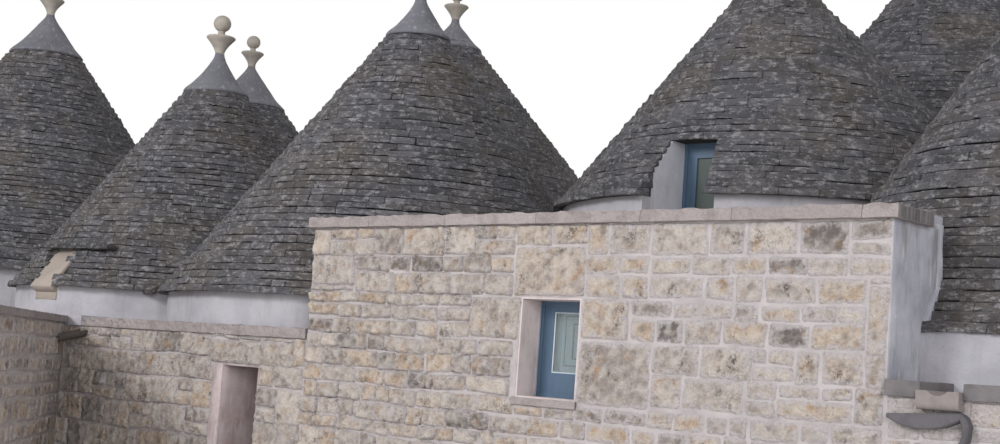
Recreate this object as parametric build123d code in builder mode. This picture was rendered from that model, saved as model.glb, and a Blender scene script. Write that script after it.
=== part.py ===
from build123d import *
from math import atan, cos, degrees, sin, tan
import os

# Trullo house: joined stone rooms under dry-stone cones, millimetres, +Z up.
# X runs along the street wall, Y goes back into the house, Z = 0 is the ground.
# X = 0 is the middle of the raised block, Y = 0 the face of the street wall.

os.makedirs("parts", exist_ok=True)

# Street wall and its three stretches
WALL = 700
BLOCK_HALF = 3590
CORNER_X = -8720
RIGHT_END = 7000
LOW_TOP = 2196
LOW_COPING = 120
RIGHT_TOP = 2022
RIGHT_COPING = 130
BLOCK_TOP = 3470
BLOCK_COPING = 115
ROOF_THICK = 200
SEAT = 0.4
HIGH_WALL_TOP = BLOCK_TOP - ROOF_THICK

# Doorway in the low stretch
DOOR_LEFT = -5090
DOOR_WIDTH = 690
DOOR_HEAD = 1840

# Window in the raised block
WINDOW_LEFT = -400
WINDOW_WIDTH = 770
WINDOW_SILL = 1745
WINDOW_HEAD = 2745
WINDOW_SET_BACK = 300
FRAME_DEPTH = 70
FRAME_WIDTH = 60

# Rooms behind the low stretch
LEFT_END = -20750
FRONT_ROOM_BACK = 6300
MID_WALL = 800
MID_BACK = FRONT_ROOM_BACK + MID_WALL
BACK_RANGE_LEFT = LEFT_END + 1950
BACK_RANGE_END = 12900
ARCH_WIDTH = 1600
ARCH_SPRING = 1300
ARCH_RISE = 600

# Every trullo: eave centre, eave radius, eave height, apex offset and height,
# foot of the drum, radius of the room's vault at the springing
CONE_A = dict(x=-10250, y=3430, r=2980, eave=2770, dx=-140, top=6860, cap=0.835,
              foot=LOW_TOP, inner=1900)
CONE_B = dict(x=-5420, y=3250, r=3300, eave=2720, dx=-110, top=7180, cap=0.87,
              foot=LOW_TOP, inner=1750)
CONE_C = dict(x=-540, y=5360, r=3080, eave=4110, dx=-490, top=7750, cap=0.85,
              foot=BLOCK_TOP, inner=2000)
CONE_D = dict(x=-1020, y=10600, r=4000, eave=4050, dx=0, top=9550, cap=0.85,
              foot=BLOCK_TOP, inner=1300)
CONE_E = dict(x=3850, y=3630, r=3070, eave=2586, dx=-240, top=6790, cap=0.85,
              foot=RIGHT_TOP, inner=1800, inset=20)
CONE_F = dict(x=-16640, y=3770, r=4100, eave=3100, dx=300, top=8290, cap=0.84,
              foot=LOW_TOP, inner=2100)
CONE_A2 = dict(x=-15380, y=7980, r=3340, eave=3950, dx=0, top=8030, cap=0.78,
               foot=LOW_TOP, inner=1300)
CONE_B2 = dict(x=-10420, y=8980, r=3850, eave=4300, dx=0, top=8710, cap=0.867,
               foot=LOW_TOP, inner=1800)

# Room under the far cone, set out from that cone; the right stretch ends a metre before it
REAR_LEFT = CONE_D["x"] - 4080
REAR_RIGHT = CONE_D["x"] + 4120
REAR_END = CONE_D["y"] + 4200
CORE_BACK = CONE_D["y"] - 2200
RIGHT_BACK = CORE_BACK - 1000
REAR_DOOR_X = CONE_D["x"] - 580

# Arches between the rooms stand near the middle of the cones they lead to
FRONT_ARCH_Y = CONE_B["y"] - 50
REAR_ARCH_Y = CONE_B2["y"] + 320
ARCHES_X = (CONE_A2["x"] - 20, CONE_B2["x"] + 220)

CORE_INSET = 50
DRUM_INSET = 120
CAP_LIFT = 75
NECK_RADIUS = 100
NECK_DROP = 100


def block(x0, x1, y0, y1, z0, z1, mode=Mode.ADD):
    """Plain block between two corners, in the open part."""
    with Locations(((x0 + x1) / 2, (y0 + y1) / 2, (z0 + z1) / 2)):
        Box(x1 - x0, y1 - y0, z1 - z0, mode=mode)


def mass(x0, x1, y0, y1, z0, z1):
    """Block kept by itself, to trim other parts with."""
    with BuildPart() as lump:
        block(x0, x1, y0, y1, z0, z1)
    return lump.part


def drum_radius(cone):
    """Radius of the plastered drum, a little inside the lowest slabs."""
    return cone["r"] - cone.get("inset", DRUM_INSET)


def radius_at(cone, z):
    """Radius of the cone's stone core at a height."""
    return cone["r"] * (cone["top"] - z) / (cone["top"] - cone["eave"]) - CORE_INSET


def shift_at(cone, z):
    """Sideways lean of the stone cone at a height."""
    return cone["dx"] * (z - cone["eave"]) / (cone["top"] - cone["eave"])


def cap_height(cone):
    """Height where the plastered cap begins."""
    return cone["eave"] + cone["cap"] * (cone["top"] - cone["eave"])


def leaning_cone(cone, low_radius, high_radius, z0, z1):
    """Right cone set askew so that its left and right slopes lean with the trullo, cut level."""
    taper = (low_radius - high_radius) / (z1 - z0)
    lean = cone["dx"] / (cone["top"] - cone["eave"])
    apex_z = z0 + low_radius / taper
    apex_x = cone["x"] + shift_at(cone, apex_z)
    right = atan(taper - lean)
    left = atan(taper + lean)
    tilt = (right - left) / 2
    half = (right + left) / 2
    length = 1.02 * (apex_z - z0) / (cos(tilt) - tan(half) * abs(sin(tilt)))
    foot = (apex_x + length * sin(tilt), cone["y"], apex_z - length * cos(tilt))
    with BuildPart() as body:
        with Locations(Location(foot, (0, -degrees(tilt), 0))):
            Cone(length * tan(half), 0, length, align=(Align.CENTER, Align.CENTER, Align.MIN))
        split(bisect_by=Plane.XY.offset(z0), keep=Keep.TOP)
        split(bisect_by=Plane.XY.offset(z1), keep=Keep.BOTTOM)
    return body.part


def frustum(cone, z0, z1, grow=0):
    """Outside of the stone cone between two heights."""
    return leaning_cone(cone, radius_at(cone, z0) + grow, radius_at(cone, z1) + grow, z0, z1)


def envelope(cone, grow=SEAT):
    """Solid outside of a trullo: drum and cone up to its cap, a hair larger."""
    upper = frustum(cone, cone["eave"] - grow, cone["top"] - 120, grow)
    with BuildPart() as mass:
        with BuildSketch(Plane.XY.offset(cone["foot"] - grow)):
            with Locations((cone["x"], cone["y"])):
                Circle(drum_radius(cone) + grow)
        extrude(amount=cone["eave"] - cone["foot"] + 2 * grow)
        add(upper)
    return mass.part


def drum_part(cone, cuts):
    """Plastered ring wall between the roof and the eave."""
    with BuildPart() as ring:
        with BuildSketch(Plane.XY.offset(cone["foot"])):
            with Locations((cone["x"], cone["y"])):
                Circle(drum_radius(cone))
                Circle(cone["inner"], mode=Mode.SUBTRACT)
        extrude(amount=cone["eave"] - cone["foot"])
        for cut in cuts:
            add(cut, mode=Mode.SUBTRACT)
    return ring.part


def vault_void(cone):
    """Hollow under a cone, drawn in towards the closing slab."""
    top = cap_height(cone) - 500
    low = cone["eave"] - 5
    return leaning_cone(cone, cone["inner"], radius_at(cone, top) * 0.35, low, top)


def cone_part(cone, cuts):
    """Dry-stone cone, hollow inside, cut where a nearer cone stands."""
    outside = frustum(cone, cone["eave"], cap_height(cone))
    hollow = vault_void(cone)
    with BuildPart() as shell:
        add(outside)
        add(hollow, mode=Mode.SUBTRACT)
        for cut in cuts:
            add(cut, mode=Mode.SUBTRACT)
    return shell.part


def cap_part(cone):
    """Concave plaster cap drawn in to a neck."""
    z0 = cap_height(cone)
    z1 = cone["top"] - NECK_DROP
    r0 = radius_at(cone, z0) + CAP_LIFT
    x0 = cone["x"] + shift_at(cone, z0)
    with BuildPart() as cap:
        with BuildSketch(Plane.XZ.offset(-cone["y"])):
            with BuildLine():
                Polyline(
                    (x0, z0),
                    (x0 + r0, z0),
                    (x0 + 0.70 * r0, z0 + 0.27 * (z1 - z0)),
                    (x0 + 0.42 * r0, z0 + 0.60 * (z1 - z0)),
                    (x0 + NECK_RADIUS, z1),
                    (x0, z1),
                    close=True,
                )
            make_face()
        revolve(axis=Axis((x0, cone["y"], 0), (0, 0, 1)))
    return cap.part


def finial_part(cone):
    """Turned stone: waisted neck, flared dish, short stem and ball."""
    z = cone["top"]
    x0 = cone["x"] + shift_at(cone, cap_height(cone))
    with BuildPart() as finial:
        with BuildSketch(Plane.XZ.offset(-cone["y"])):
            with BuildLine():
                Polyline(
                    (x0, z - NECK_DROP),
                    (x0 + NECK_RADIUS, z - NECK_DROP),
                    (x0 + 78, z + 30),
                    (x0 + 145, z + 160),
                    (x0 + 235, z + 262),
                    (x0 + 235, z + 288),
                    (x0 + 70, z + 310),
                    (x0 + 60, z + 400),
                    (x0, z + 400),
                    close=True,
                )
            make_face()
        revolve(axis=Axis((x0, cone["y"], 0), (0, 0, 1)))
        with Locations((x0, cone["y"], z + 520)):
            Sphere(145)
    return finial.part


def save(part, name):
    """Label a finished piece and write it."""
    part.label = name
    export_step(part, "parts/" + name + ".step")


# Outsides of the trulli, used to trim whatever they grow through
outer_a = envelope(CONE_A)
outer_b = envelope(CONE_B)
outer_c = envelope(CONE_C)
outer_e = envelope(CONE_E)
outer_f = envelope(CONE_F)
outer_b2 = envelope(CONE_B2)

# Street wall, left stretch: two piers and the stone over the doorway
door_right = DOOR_LEFT + DOOR_WIDTH
with BuildPart() as left_wall_piers:
    block(CORNER_X, DOOR_LEFT, 0, WALL, 0, LOW_TOP)
    block(door_right, -BLOCK_HALF, 0, WALL, 0, LOW_TOP)
save(left_wall_piers.part, "left_wall_piers")

with BuildPart() as door_head_wall:
    block(DOOR_LEFT, door_right, 0, WALL, DOOR_HEAD, LOW_TOP)
save(door_head_wall.part, "door_head_wall")

# Thin coping along the left stretch, stopped either side of the rain outlet
OUTLET_LEFT = -8560
OUTLET_RIGHT = -8200
with BuildPart() as left_coping:
    block(CORNER_X, -BLOCK_HALF - SEAT, -40, 330, LOW_TOP, LOW_TOP + LOW_COPING)
    block(OUTLET_LEFT, OUTLET_RIGHT, -50, 340, LOW_TOP - 10, LOW_TOP + LOW_COPING + 10, mode=Mode.SUBTRACT)
    add(outer_b, mode=Mode.SUBTRACT)
save(left_coping.part, "left_coping")

# Raised block: front wall round the window
window_right = WINDOW_LEFT + WINDOW_WIDTH
with BuildPart() as block_wall_piers:
    block(-BLOCK_HALF, WINDOW_LEFT, 0, WALL, 0, BLOCK_TOP)
    block(window_right, BLOCK_HALF, 0, WALL, 0, BLOCK_TOP)
    add(outer_e, mode=Mode.SUBTRACT)
save(block_wall_piers.part, "block_wall_piers")

with BuildPart() as block_wall_below:
    block(WINDOW_LEFT, window_right, 0, WALL, 0, WINDOW_SILL)
save(block_wall_below.part, "block_wall_below")

with BuildPart() as block_wall_above:
    block(WINDOW_LEFT, window_right, 0, WALL, WINDOW_HEAD, BLOCK_TOP)
save(block_wall_above.part, "block_wall_above")

# Side walls of the block; the right one is thick masonry up to the cone beside it
CORE_RIGHT = 900
CORE_EDGE = 2500
FLANK_BACK = 800
INNER_DOOR_Y = 3000
INNER_DOOR_WIDTH = 900
INNER_DOOR_HEAD = 1900
INNER_DOOR_END = INNER_DOOR_Y + INNER_DOOR_WIDTH
for label, x0 in (("block_side_left", -BLOCK_HALF), ("block_side_right", CORE_RIGHT)):
    with BuildPart() as side_wall:
        block(x0, x0 + WALL, WALL, INNER_DOOR_Y, 0, HIGH_WALL_TOP)
        block(x0, x0 + WALL, INNER_DOOR_END, CORE_BACK, 0, HIGH_WALL_TOP)
        add(outer_e, mode=Mode.SUBTRACT)
    save(side_wall.part, label)

with BuildPart() as inner_door_heads:
    for x0 in (-BLOCK_HALF, CORE_RIGHT):
        block(x0, x0 + WALL, INNER_DOOR_Y, INNER_DOOR_END, INNER_DOOR_HEAD, HIGH_WALL_TOP)
    block(REAR_DOOR_X - INNER_DOOR_WIDTH / 2, REAR_DOOR_X + INNER_DOOR_WIDTH / 2,
          CORE_BACK, CORE_BACK + WALL, INNER_DOOR_HEAD, HIGH_WALL_TOP)
    add(outer_e, mode=Mode.SUBTRACT)
save(inner_door_heads.part, "inner_door_heads")

with BuildPart() as block_flank:
    block(CORE_RIGHT + WALL, BLOCK_HALF, WALL, FLANK_BACK, 0, HIGH_WALL_TOP)
    block(CORE_RIGHT + WALL, CORE_EDGE, FLANK_BACK, CORE_BACK, RIGHT_TOP + SEAT, HIGH_WALL_TOP)
    block(CORE_RIGHT + WALL, CORE_EDGE, RIGHT_BACK, CORE_BACK, 0, HIGH_WALL_TOP)
    add(outer_e, mode=Mode.SUBTRACT)
save(block_flank.part, "block_flank")

# Flat roof of the block, also the floor of the loft under the high cone
with BuildPart() as block_roof:
    block(-BLOCK_HALF, BLOCK_HALF, WALL, FLANK_BACK, HIGH_WALL_TOP, BLOCK_TOP)
    block(-BLOCK_HALF, CORE_EDGE, FLANK_BACK, CORE_BACK, HIGH_WALL_TOP, BLOCK_TOP)
    add(outer_e, mode=Mode.SUBTRACT)
save(block_roof.part, "block_roof")

# Heavy coping slab of the block with its short return on the right
COPING_OUT = 70
COPING_DEEP = 600
with BuildPart() as block_coping:
    block(-BLOCK_HALF - COPING_OUT, BLOCK_HALF + COPING_OUT, -COPING_OUT, COPING_DEEP,
            BLOCK_TOP, BLOCK_TOP + BLOCK_COPING)
save(block_coping.part, "block_coping")

# Low right stretch with its ledge
with BuildPart() as right_wall:
    block(BLOCK_HALF, RIGHT_END, 0, WALL, 0, RIGHT_TOP)
save(right_wall.part, "right_wall")

LEDGE_OUT = 50
SPOUT_LEFT = BLOCK_HALF + 310
SPOUT_RIGHT = SPOUT_LEFT + 360
SPOUT_BACK = 300
SPOUT_DROP = 70
with BuildPart() as right_ledge:
    block(BLOCK_HALF + SEAT, RIGHT_END, -LEDGE_OUT, WALL, RIGHT_TOP, RIGHT_TOP + RIGHT_COPING)
    block(SPOUT_LEFT, SPOUT_RIGHT, -LEDGE_OUT - 10, SPOUT_BACK, RIGHT_TOP - 10, RIGHT_TOP + RIGHT_COPING + 10,
          mode=Mode.SUBTRACT)
    add(outer_e, mode=Mode.SUBTRACT)
save(right_ledge.part, "right_ledge")

with BuildPart() as right_end_wall:
    block(RIGHT_END - WALL, RIGHT_END, WALL, RIGHT_BACK, 0, RIGHT_TOP)
save(right_end_wall.part, "right_end_wall")

with BuildPart() as right_back_wall:
    block(CORE_RIGHT + WALL, RIGHT_END - WALL, RIGHT_BACK - WALL, RIGHT_BACK, 0, RIGHT_TOP)
save(right_back_wall.part, "right_back_wall")

# Back wall of the middle and the room behind it
with BuildPart() as rear_front_wall:
    block(REAR_LEFT, REAR_DOOR_X - INNER_DOOR_WIDTH / 2, CORE_BACK, CORE_BACK + WALL, 0, HIGH_WALL_TOP)
    block(REAR_DOOR_X + INNER_DOOR_WIDTH / 2, REAR_RIGHT, CORE_BACK, CORE_BACK + WALL, 0, HIGH_WALL_TOP)
save(rear_front_wall.part, "rear_front_wall")

with BuildPart() as rear_side_walls:
    for x0 in (REAR_LEFT, REAR_RIGHT - WALL):
        block(x0, x0 + WALL, CORE_BACK + WALL, REAR_END, 0, HIGH_WALL_TOP)
save(rear_side_walls.part, "rear_side_walls")

with BuildPart() as rear_back_wall:
    block(REAR_LEFT + WALL, REAR_RIGHT - WALL, REAR_END - WALL, REAR_END, 0, HIGH_WALL_TOP)
save(rear_back_wall.part, "rear_back_wall")

with BuildPart() as rear_roof:
    block(REAR_LEFT, REAR_RIGHT, CORE_BACK + SEAT, REAR_END, HIGH_WALL_TOP, BLOCK_TOP)
    with Locations((CONE_D["x"], CONE_D["y"], BLOCK_TOP)):
        Cylinder(CONE_D["inner"], 3 * ROOF_THICK, mode=Mode.SUBTRACT)
save(rear_roof.part, "rear_roof")


# Rooms of the low range: end wall, party walls with arches, middle and back walls
ROOM_SPLIT_FA = -13300
ROOM_SPLIT_AB = -8050
LOW_WALL_TOP = LOW_TOP - ROOF_THICK
BACK_SPLIT = -13100
PLAIN_WALLS = (
    ("far_left_wall", LEFT_END, CORNER_X, 0, WALL, LOW_TOP),
    ("far_back_wall", LEFT_END, BACK_RANGE_LEFT, FRONT_ROOM_BACK, MID_BACK, LOW_WALL_TOP),
    ("back_wall", BACK_RANGE_LEFT + WALL, REAR_LEFT, BACK_RANGE_END - WALL,
     BACK_RANGE_END, HIGH_WALL_TOP),
)
for label, x0, x1, y0, y1, z1 in PLAIN_WALLS:
    with BuildPart() as wall:
        block(x0, x1, y0, y1, 0, z1)
    save(wall.part, label)


def arch_wall(x0, x1, y0, y1, top, openings, along_x):
    """Thick inner wall pierced by round-headed openings centred on the list."""
    with BuildPart() as wall:
        block(x0, x1, y0, y1, 0, top)
        for centre in openings:
            half = ARCH_WIDTH / 2
            plane = Plane.XZ.offset(-y0) if along_x else Plane.YZ.offset(x0)
            depth = -(y1 - y0) if along_x else (x1 - x0)
            with BuildSketch(plane):
                with Locations((centre, 0)):
                    Rectangle(ARCH_WIDTH, ARCH_SPRING - 200, align=(Align.CENTER, Align.MIN))
                with Locations((centre, ARCH_SPRING - 200)):
                    Ellipse(half, ARCH_RISE)
            extrude(amount=depth, mode=Mode.SUBTRACT)
    return wall.part


arch_west = arch_wall(ROOM_SPLIT_FA, ROOM_SPLIT_FA + MID_WALL, WALL, FRONT_ROOM_BACK, LOW_WALL_TOP,
                      (FRONT_ARCH_Y,), False)
arch_east = arch_wall(ROOM_SPLIT_AB, ROOM_SPLIT_AB + MID_WALL, WALL, FRONT_ROOM_BACK, LOW_WALL_TOP,
                      (FRONT_ARCH_Y,), False)
with BuildPart() as arch_walls_front:
    add(arch_west)
    add(arch_east)
save(arch_walls_front.part, "arch_walls_front")
save(arch_wall(BACK_RANGE_LEFT, -BLOCK_HALF, FRONT_ROOM_BACK, MID_BACK, HIGH_WALL_TOP,
               ARCHES_X, True), "arch_wall_back")
save(arch_wall(BACK_SPLIT, BACK_SPLIT + WALL, MID_BACK, BACK_RANGE_END - WALL, HIGH_WALL_TOP,
               (REAR_ARCH_Y,), False), "arch_wall_rear")
with BuildPart() as low_side_walls:
    block(LEFT_END, LEFT_END + WALL, WALL, FRONT_ROOM_BACK, 0, LOW_WALL_TOP)
    block(BACK_RANGE_LEFT, BACK_RANGE_LEFT + WALL, MID_BACK, BACK_RANGE_END, 0, HIGH_WALL_TOP)
    block(REAR_LEFT - WALL, REAR_LEFT, MID_BACK, BACK_RANGE_END - WALL, 0, HIGH_WALL_TOP)
save(low_side_walls.part, "low_side_walls")

with BuildPart() as corner_mass:
    block(REAR_LEFT, -BLOCK_HALF, MID_BACK, CORE_BACK, 0, HIGH_WALL_TOP)
save(corner_mass.part, "corner_mass")

# Flat roofs round the trulli, open under each vault
with BuildPart() as low_roof:
    block(LEFT_END, -BLOCK_HALF - SEAT, WALL, FRONT_ROOM_BACK - SEAT, LOW_WALL_TOP, LOW_TOP)
    block(LEFT_END, BACK_RANGE_LEFT - SEAT, FRONT_ROOM_BACK - SEAT, MID_BACK, LOW_WALL_TOP, LOW_TOP)
    for cone in (CONE_A, CONE_B, CONE_F):
        with Locations((cone["x"], cone["y"], LOW_TOP)):
            Cylinder(cone["inner"], 3 * ROOF_THICK, mode=Mode.SUBTRACT)
save(low_roof.part, "low_roof")

with BuildPart() as back_roof:
    block(BACK_RANGE_LEFT, -BLOCK_HALF - SEAT, FRONT_ROOM_BACK, CORE_BACK - SEAT, HIGH_WALL_TOP, BLOCK_TOP)
    block(BACK_RANGE_LEFT, REAR_LEFT - SEAT, CORE_BACK - SEAT, BACK_RANGE_END, HIGH_WALL_TOP, BLOCK_TOP)
    for cone in (CONE_A2, CONE_B2):
        with Locations((cone["x"], cone["y"], BLOCK_TOP)):
            Cylinder(cone["inner"], 3 * ROOF_THICK, mode=Mode.SUBTRACT)
save(back_roof.part, "back_roof")

with BuildPart() as right_roof:
    block(BLOCK_HALF + SEAT, RIGHT_END, WALL, FLANK_BACK + SEAT, RIGHT_TOP - ROOF_THICK, RIGHT_TOP)
    block(CORE_RIGHT + WALL + SEAT, RIGHT_END, FLANK_BACK + SEAT, RIGHT_BACK,
            RIGHT_TOP - ROOF_THICK, RIGHT_TOP)
    block(RIGHT_END - WALL, RIGHT_END, WALL, RIGHT_BACK, 0, RIGHT_TOP, mode=Mode.SUBTRACT)
    block(0, RIGHT_END, RIGHT_BACK - WALL, RIGHT_BACK, 0, RIGHT_TOP, mode=Mode.SUBTRACT)
    with Locations((CONE_E["x"], CONE_E["y"], RIGHT_TOP)):
        Cylinder(CONE_E["inner"], 3 * ROOF_THICK, mode=Mode.SUBTRACT)
save(right_roof.part, "right_roof")

# Doorway of the loft, cut through the high drum and cone
DORMER_LEFT = -770
DORMER_WIDTH = 930
DORMER_HEAD = 4830
DORMER_SET_BACK = 3200
dormer_right = DORMER_LEFT + DORMER_WIDTH
CHEEK = 60
CHEEK_FRONT = 2570
dormer_hole = mass(DORMER_LEFT, dormer_right, 1900, 4300, BLOCK_TOP - 10, DORMER_HEAD)
cheek_room = mass(DORMER_LEFT - CHEEK, DORMER_LEFT + 1, CHEEK_FRONT - SEAT, 4300, BLOCK_TOP - 10, DORMER_HEAD)
block_mass = mass(-BLOCK_HALF - SEAT, 2600, -100, CORE_BACK, -10, BLOCK_TOP + SEAT)
room_mass = mass(0, CORE_RIGHT + SEAT, WALL, CORE_BACK, -10, HIGH_WALL_TOP + 10)
back_mass = mass(BACK_RANGE_LEFT - SEAT, -BLOCK_HALF + 100, FRONT_ROOM_BACK - SEAT, BACK_RANGE_END + 600,
                 -10, BLOCK_TOP + SEAT)

TRULLI = (
    ("a", CONE_A, (outer_b, back_mass)),
    ("b", CONE_B, (block_mass, back_mass)),
    ("c", CONE_C, (outer_b, outer_e, dormer_hole, cheek_room)),
    ("d", CONE_D, (outer_c,)),
    ("e", CONE_E, (room_mass,)),
    ("f", CONE_F, (outer_a, back_mass)),
    ("a2", CONE_A2, (outer_a, outer_f, outer_b2, back_mass)),
    ("b2", CONE_B2, (outer_a, outer_b, back_mass)),
)
drums = []
caps = []
finials = []
for letter, cone, cuts in TRULLI:
    save(cone_part(cone, cuts), "cone_" + letter)
    drums.append(drum_part(cone, cuts))
    caps.append(cap_part(cone))
    finials.append(finial_part(cone))
with BuildPart() as plaster_drums:
    for drum in drums:
        add(drum)
save(plaster_drums.part, "plaster_drums")
with BuildPart() as plaster_caps:
    for cap in caps:
        add(cap)
save(plaster_caps.part, "plaster_caps")
with BuildPart() as finial_stones:
    for finial in finials:
        add(finial)
save(finial_stones.part, "finial_stones")

# Joinery of the street window: frame and sash deep in the plastered reveal
frame_front = WINDOW_SET_BACK
with BuildPart() as window_frame:
    block(WINDOW_LEFT, window_right, frame_front, frame_front + FRAME_DEPTH, WINDOW_SILL, WINDOW_HEAD)
    block(WINDOW_LEFT + FRAME_WIDTH, window_right - FRAME_WIDTH, frame_front - 10,
            frame_front + FRAME_DEPTH + 10, WINDOW_SILL + FRAME_WIDTH, WINDOW_HEAD - FRAME_WIDTH, mode=Mode.SUBTRACT)
save(window_frame.part, "window_frame")

# Plaster lining of the deep window reveal
LINING = 20
with BuildPart() as window_lining:
    block(WINDOW_LEFT, window_right, 5, WINDOW_SET_BACK - SEAT, WINDOW_SILL, WINDOW_HEAD)
    block(WINDOW_LEFT + LINING, window_right - LINING, 0, WINDOW_SET_BACK + 10,
          WINDOW_SILL + LINING, WINDOW_HEAD - LINING, mode=Mode.SUBTRACT)
save(window_lining.part, "window_lining")

SASH_GAP = 0.3
SASH_LEFT = 127
SASH_RIGHT = 50
SASH_HEAD = 65
SASH_FOOT = 205
sash_x0 = WINDOW_LEFT + FRAME_WIDTH + SASH_GAP
sash_x1 = window_right - FRAME_WIDTH - SASH_GAP
sash_z0 = WINDOW_SILL + FRAME_WIDTH + SASH_GAP
sash_z1 = WINDOW_HEAD - FRAME_WIDTH - SASH_GAP
with BuildPart() as window_sash:
    block(sash_x0, sash_x1, frame_front + 15, frame_front + 55, sash_z0, sash_z1)
    block(sash_x0 + SASH_LEFT, sash_x1 - SASH_RIGHT, frame_front, frame_front + FRAME_DEPTH,
          sash_z0 + SASH_FOOT, sash_z1 - SASH_HEAD, mode=Mode.SUBTRACT)
save(window_sash.part, "window_sash")

with BuildPart() as window_glass:
    block(sash_x0 + SASH_LEFT, sash_x1 - SASH_RIGHT, frame_front + 30, frame_front + 36,
          sash_z0 + SASH_FOOT, sash_z1 - SASH_HEAD)
save(window_glass.part, "window_glass")

# Inner shutter laid against the back of the frame, its panel sunk in two steps
SHUTTER_THICK = 32
SHUTTER_STEP = 9
PANEL = (-80, 210, 2075, 2565)
PANEL_BORDER = 80
shutter_front = frame_front + FRAME_DEPTH
with BuildPart() as window_shutter:
    block(WINDOW_LEFT + 30, window_right - 30, shutter_front, shutter_front + SHUTTER_THICK,
          WINDOW_SILL + 20, WINDOW_HEAD - 20)
    for step in (0, 1):
        border = step * PANEL_BORDER
        block(PANEL[0] + border, PANEL[1] - border, shutter_front - 10, shutter_front + SHUTTER_STEP * (step + 1),
              PANEL[2] + border, PANEL[3] - border, mode=Mode.SUBTRACT)
save(window_shutter.part, "window_shutter")

# Loft doorway joinery: thin frame, one glazed leaf
LOFT_FRAME = 45
LOFT_STILE = 130
LOFT_LOW_RAIL = 250
leaf_left = DORMER_LEFT + LOFT_FRAME + SEAT
leaf_right = dormer_right - LOFT_FRAME - SEAT
leaf_top = DORMER_HEAD - LOFT_FRAME - SEAT
with BuildPart() as dormer_frame:
    block(DORMER_LEFT, dormer_right, DORMER_SET_BACK, DORMER_SET_BACK + 80, BLOCK_TOP, DORMER_HEAD)
    block(DORMER_LEFT + LOFT_FRAME, dormer_right - LOFT_FRAME, DORMER_SET_BACK - 10, DORMER_SET_BACK + 90,
          BLOCK_TOP - 10, DORMER_HEAD - LOFT_FRAME, mode=Mode.SUBTRACT)
save(dormer_frame.part, "dormer_frame")

with BuildPart() as dormer_leaf:
    block(leaf_left, leaf_right, DORMER_SET_BACK + 15, DORMER_SET_BACK + 60, BLOCK_TOP + SEAT, leaf_top)
    block(leaf_left + LOFT_STILE, leaf_right - LOFT_STILE, DORMER_SET_BACK, DORMER_SET_BACK + 80,
          BLOCK_TOP + LOFT_LOW_RAIL, leaf_top - LOFT_STILE, mode=Mode.SUBTRACT)
save(dormer_leaf.part, "dormer_leaf")

with BuildPart() as dormer_pane:
    block(leaf_left + LOFT_STILE, leaf_right - LOFT_STILE, DORMER_SET_BACK + 40, DORMER_SET_BACK + 46,
          BLOCK_TOP + LOFT_LOW_RAIL, leaf_top - LOFT_STILE)
save(dormer_pane.part, "dormer_pane")

# Plastered left cheek of the loft doorway, behind the ends of the slabs and worn back with the cone
with BuildPart() as dormer_cheek:
    block(DORMER_LEFT - CHEEK + SEAT, DORMER_LEFT - SEAT, CHEEK_FRONT, DORMER_SET_BACK + 300,
          BLOCK_TOP, DORMER_HEAD - SEAT)
    add(outer_c, mode=Mode.INTERSECT)
save(dormer_cheek.part, "dormer_cheek")

# Street court wall that leaves the inner corner towards the viewer
COURT_START = (-8560, -45)
COURT_LENGTH = 4500
COURT_THICK = 500
COURT_ANGLE = -41.3
COURT_TOP = 2225
COURT_COPING = 90
GUTTER_X = -8150
GUTTER_LENGTH = 450
GUTTER_RADIUS = 95
GUTTER_Z = LOW_TOP - 45
GUTTER_FALL = 14
gutter_slope = tan(GUTTER_FALL * 3.14159 / 180)
gutter_room = mass(GUTTER_X - GUTTER_RADIUS - SEAT, GUTTER_X + GUTTER_RADIUS + SEAT, -GUTTER_LENGTH - 60, 1,
                   GUTTER_Z - 1.1 * GUTTER_RADIUS - gutter_slope * GUTTER_LENGTH, COURT_TOP + 1)
court_plane = Plane(origin=(COURT_START[0], COURT_START[1], 0), x_dir=(1, 0, 0)).rotated((0, 0, COURT_ANGLE))
with BuildPart() as court_wall:
    with BuildSketch(court_plane):
        with Locations((0, 0)):
            Rectangle(COURT_LENGTH, COURT_THICK, align=(Align.MIN, Align.MAX))
    extrude(amount=COURT_TOP)
    block(CORNER_X - 900, 0, -SEAT, 900, -10, COURT_TOP + 10, mode=Mode.SUBTRACT)
    block(CORNER_X - 900, 0, -41, 900, LOW_TOP - 10, COURT_TOP + 10, mode=Mode.SUBTRACT)
    add(gutter_room, mode=Mode.SUBTRACT)
save(court_wall.part, "court_wall")

with BuildPart() as court_coping:
    with BuildSketch(court_plane.offset(COURT_TOP)):
        with Locations((0, 40)):
            Rectangle(COURT_LENGTH, COURT_THICK + 80, align=(Align.MIN, Align.MAX))
    extrude(amount=COURT_COPING)
    block(CORNER_X - 900, 0, -40 - SEAT, 900, -10, COURT_TOP + 200, mode=Mode.SUBTRACT)
save(court_coping.part, "court_coping")

# Half-round gutter spout at the inner corner, falling towards its mouth
GUTTER_ROOT = 100
gutter_plane = Plane(origin=(GUTTER_X, GUTTER_ROOT, GUTTER_Z + gutter_slope * GUTTER_ROOT),
                     x_dir=(1, 0, 0), z_dir=(0, -1, -gutter_slope))
with BuildPart() as gutter_spout:
    with BuildSketch(gutter_plane):
        Circle(GUTTER_RADIUS)
        Circle(GUTTER_RADIUS - 20, mode=Mode.SUBTRACT)
        with Locations((0, 60)):
            Rectangle(260, 120, mode=Mode.SUBTRACT)
    extrude(amount=GUTTER_LENGTH + GUTTER_ROOT)
    split(bisect_by=Plane.XZ, keep=Keep.TOP)
save(gutter_spout.part, "gutter_spout")

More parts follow.
